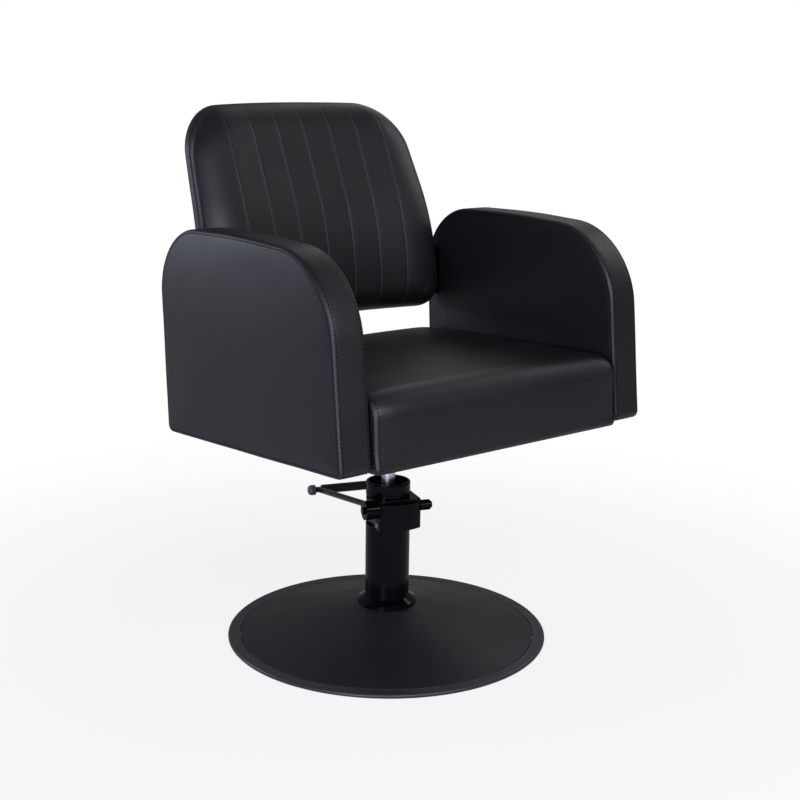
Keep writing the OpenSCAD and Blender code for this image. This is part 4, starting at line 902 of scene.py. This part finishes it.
def face_point(x, h, w):
    if w == 0:
        s = edge_share(x, h, FACE_ROLL, HIGH_ROLL)
        fade = held((min(h, BACK_H - h) - FADE_START) / FADE_LENGTH)
        set_back = SIDE_SEAM * drop(s) - CROWN_SWELL * crown_share(x, h) + quilt(x) * fade * (1 - s * s)
        return back_point(x, h, EDGE_DRAW * held(12 * s - 11), set_back)
    if w == 1:
        return back_point(x, h, 0.2, CUSHION_T)
    return back_point(x, h, EDGE_DRAW * held(1 - 3.5 * w), SIDE_SEAM + (CUSHION_T - SIDE_SEAM) * w)

# %% [markdown]
# The slab's front and rear are the grid and its extruded copy. The walls between them are cut into
# five strips, so that the boxing strip can bend too.

# %% Bending a slab to the back's form
WALL_CUTS = 4


def slab(columns, rows, place):
    """A block of columns and rows, with place(x, h, w) for each point; w is 0 in front and 1 behind."""
    across, up_rows = len(columns(0)) - 1, len(rows) - 1
    bm = bmesh.new()
    bmesh.ops.create_grid(bm, x_segments=across, y_segments=up_rows, size=1)
    made = bmesh.ops.extrude_face_region(bm, geom=bm.faces[:])
    bmesh.ops.translate(bm, vec=(0, 0, 1), verts=made_parts(made, bmesh.types.BMVert))
    walls = [e for e in bm.edges if abs(e.verts[0].co.z - e.verts[1].co.z) > 0.5]
    bmesh.ops.subdivide_edges(bm, edges=walls, cuts=WALL_CUTS, use_grid_fill=True)
    for v in bm.verts:
        i, j = round((v.co.x + 1) / 2 * across), round((v.co.y + 1) / 2 * up_rows)
        w = v.co.z if 0.01 < v.co.z < 0.99 else round(v.co.z)
        v.co = place(columns(rows[j])[i], rows[j], w)
    bmesh.ops.recalc_face_normals(bm, faces=bm.faces)
    print("slab:", len(bm.verts), "points")
    return bm


bm = slab(face_columns, FACE_ROWS, face_point)
uneven(bm, amount=0.5, wave=80, seed=11.0)
back_pad = piece("back_pad", bm, leatherette, "seat", ["back_cushion"], sharp=180)
subdivided(back_pad)

# %% [markdown]
# The rear panel is a padded shell round the plywood board. It is the same kind of slab, with its
# inside pushed back where the board lies. It meets the boxing strip in a second seam.

# %% The rear panel
PANEL_STEPS = [0, 1.6, 5, 9, 13.4, 13.9, 20, 28]
LAYER, BOARD_T, PANEL_T, BOARD_INSET = 0.8, 15, 9, 13.6
RIM_T, REAR_ROLL, REAR_SWELL = 8, 20, 5


def panel_line(half):
    middle = [(half - PANEL_STEPS[-1]) * (2 * i / 30 - 1) for i in range(1, 30)]
    return [-half + e for e in PANEL_STEPS] + middle + [half - e for e in reversed(PANEL_STEPS)]


def panel_columns(h):
    return panel_line(half_width(h))


PANEL_ROWS = [BACK_H / 2 + v for v in panel_line(BACK_H / 2)]


def panel_point(x, h, w):
    front = CUSHION_T + LAYER
    if w == 0:
        deep = half_width(h) - abs(x) > BOARD_INSET and min(h, BACK_H - h) > BOARD_INSET
        return back_point(x, h, 0.4, front + (BOARD_T + LAYER if deep else 0))
    if w == 1:
        rolled = (BOARD_T + PANEL_T - RIM_T) * drop(edge_share(x, h, REAR_ROLL, REAR_ROLL))
        return back_point(x, h, 0, front + BOARD_T + PANEL_T - rolled + REAR_SWELL * crown_share(x, h))
    return back_point(x, h, 1.2 * held(1 - 3 * w), front + RIM_T * w)


bm = slab(panel_columns, PANEL_ROWS, panel_point)
uneven(bm, amount=0.4, wave=90, seed=5.0)
back_panel = piece("rear_panel", bm, leatherette, "seat", ["back_rear_panel"], sharp=60)

# %% [markdown]
# The seams of the back are sewn last: one row lies in each groove of the face, and a row runs on
# each side of the boxing seam.

# %% Sewing the back
GROOVE_LOW, GROOVE_STEP, GROOVE_POINTS = 14, 5, 73
grooves = [([face_point(x, GROOVE_LOW + i * GROOVE_STEP, 0) for i in range(GROOVE_POINTS)], False)
           for x in SEAMS]
border = ([(-1, h) for h in FACE_ROWS[::2]] + [(x, BACK_H) for x in face_columns(BACK_H)[2:-2:2]]
          + [(1, h) for h in FACE_ROWS[::-2]] + [(x, 0) for x in face_columns(0)[-3:2:-2]])


def border_row(drawn, set_back):
    """A ring round the cushion's side; the columns -1 and 1 stand for its left and right outline."""
    return [back_point(x * half_width(h) if abs(x) == 1 else x, h, drawn, set_back) for x, h in border]


border_rows = [(border_row(0.2, SIDE_SEAM - 4), True), (border_row(0, SIDE_SEAM + 2), True)]
sew("back_stitches", back_pad, grooves, thread_painted_sheen, 1.2)
sew("border_stitches", back_pad, border_rows, thread_painted_dark, 1.6)

# %% [markdown]
# ## Sizes
# The padding may stand a few millimetres proud of the CAD model, and no more. Here the box round
# all shown parts is measured.

# %% Sizes and finish
low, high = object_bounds()
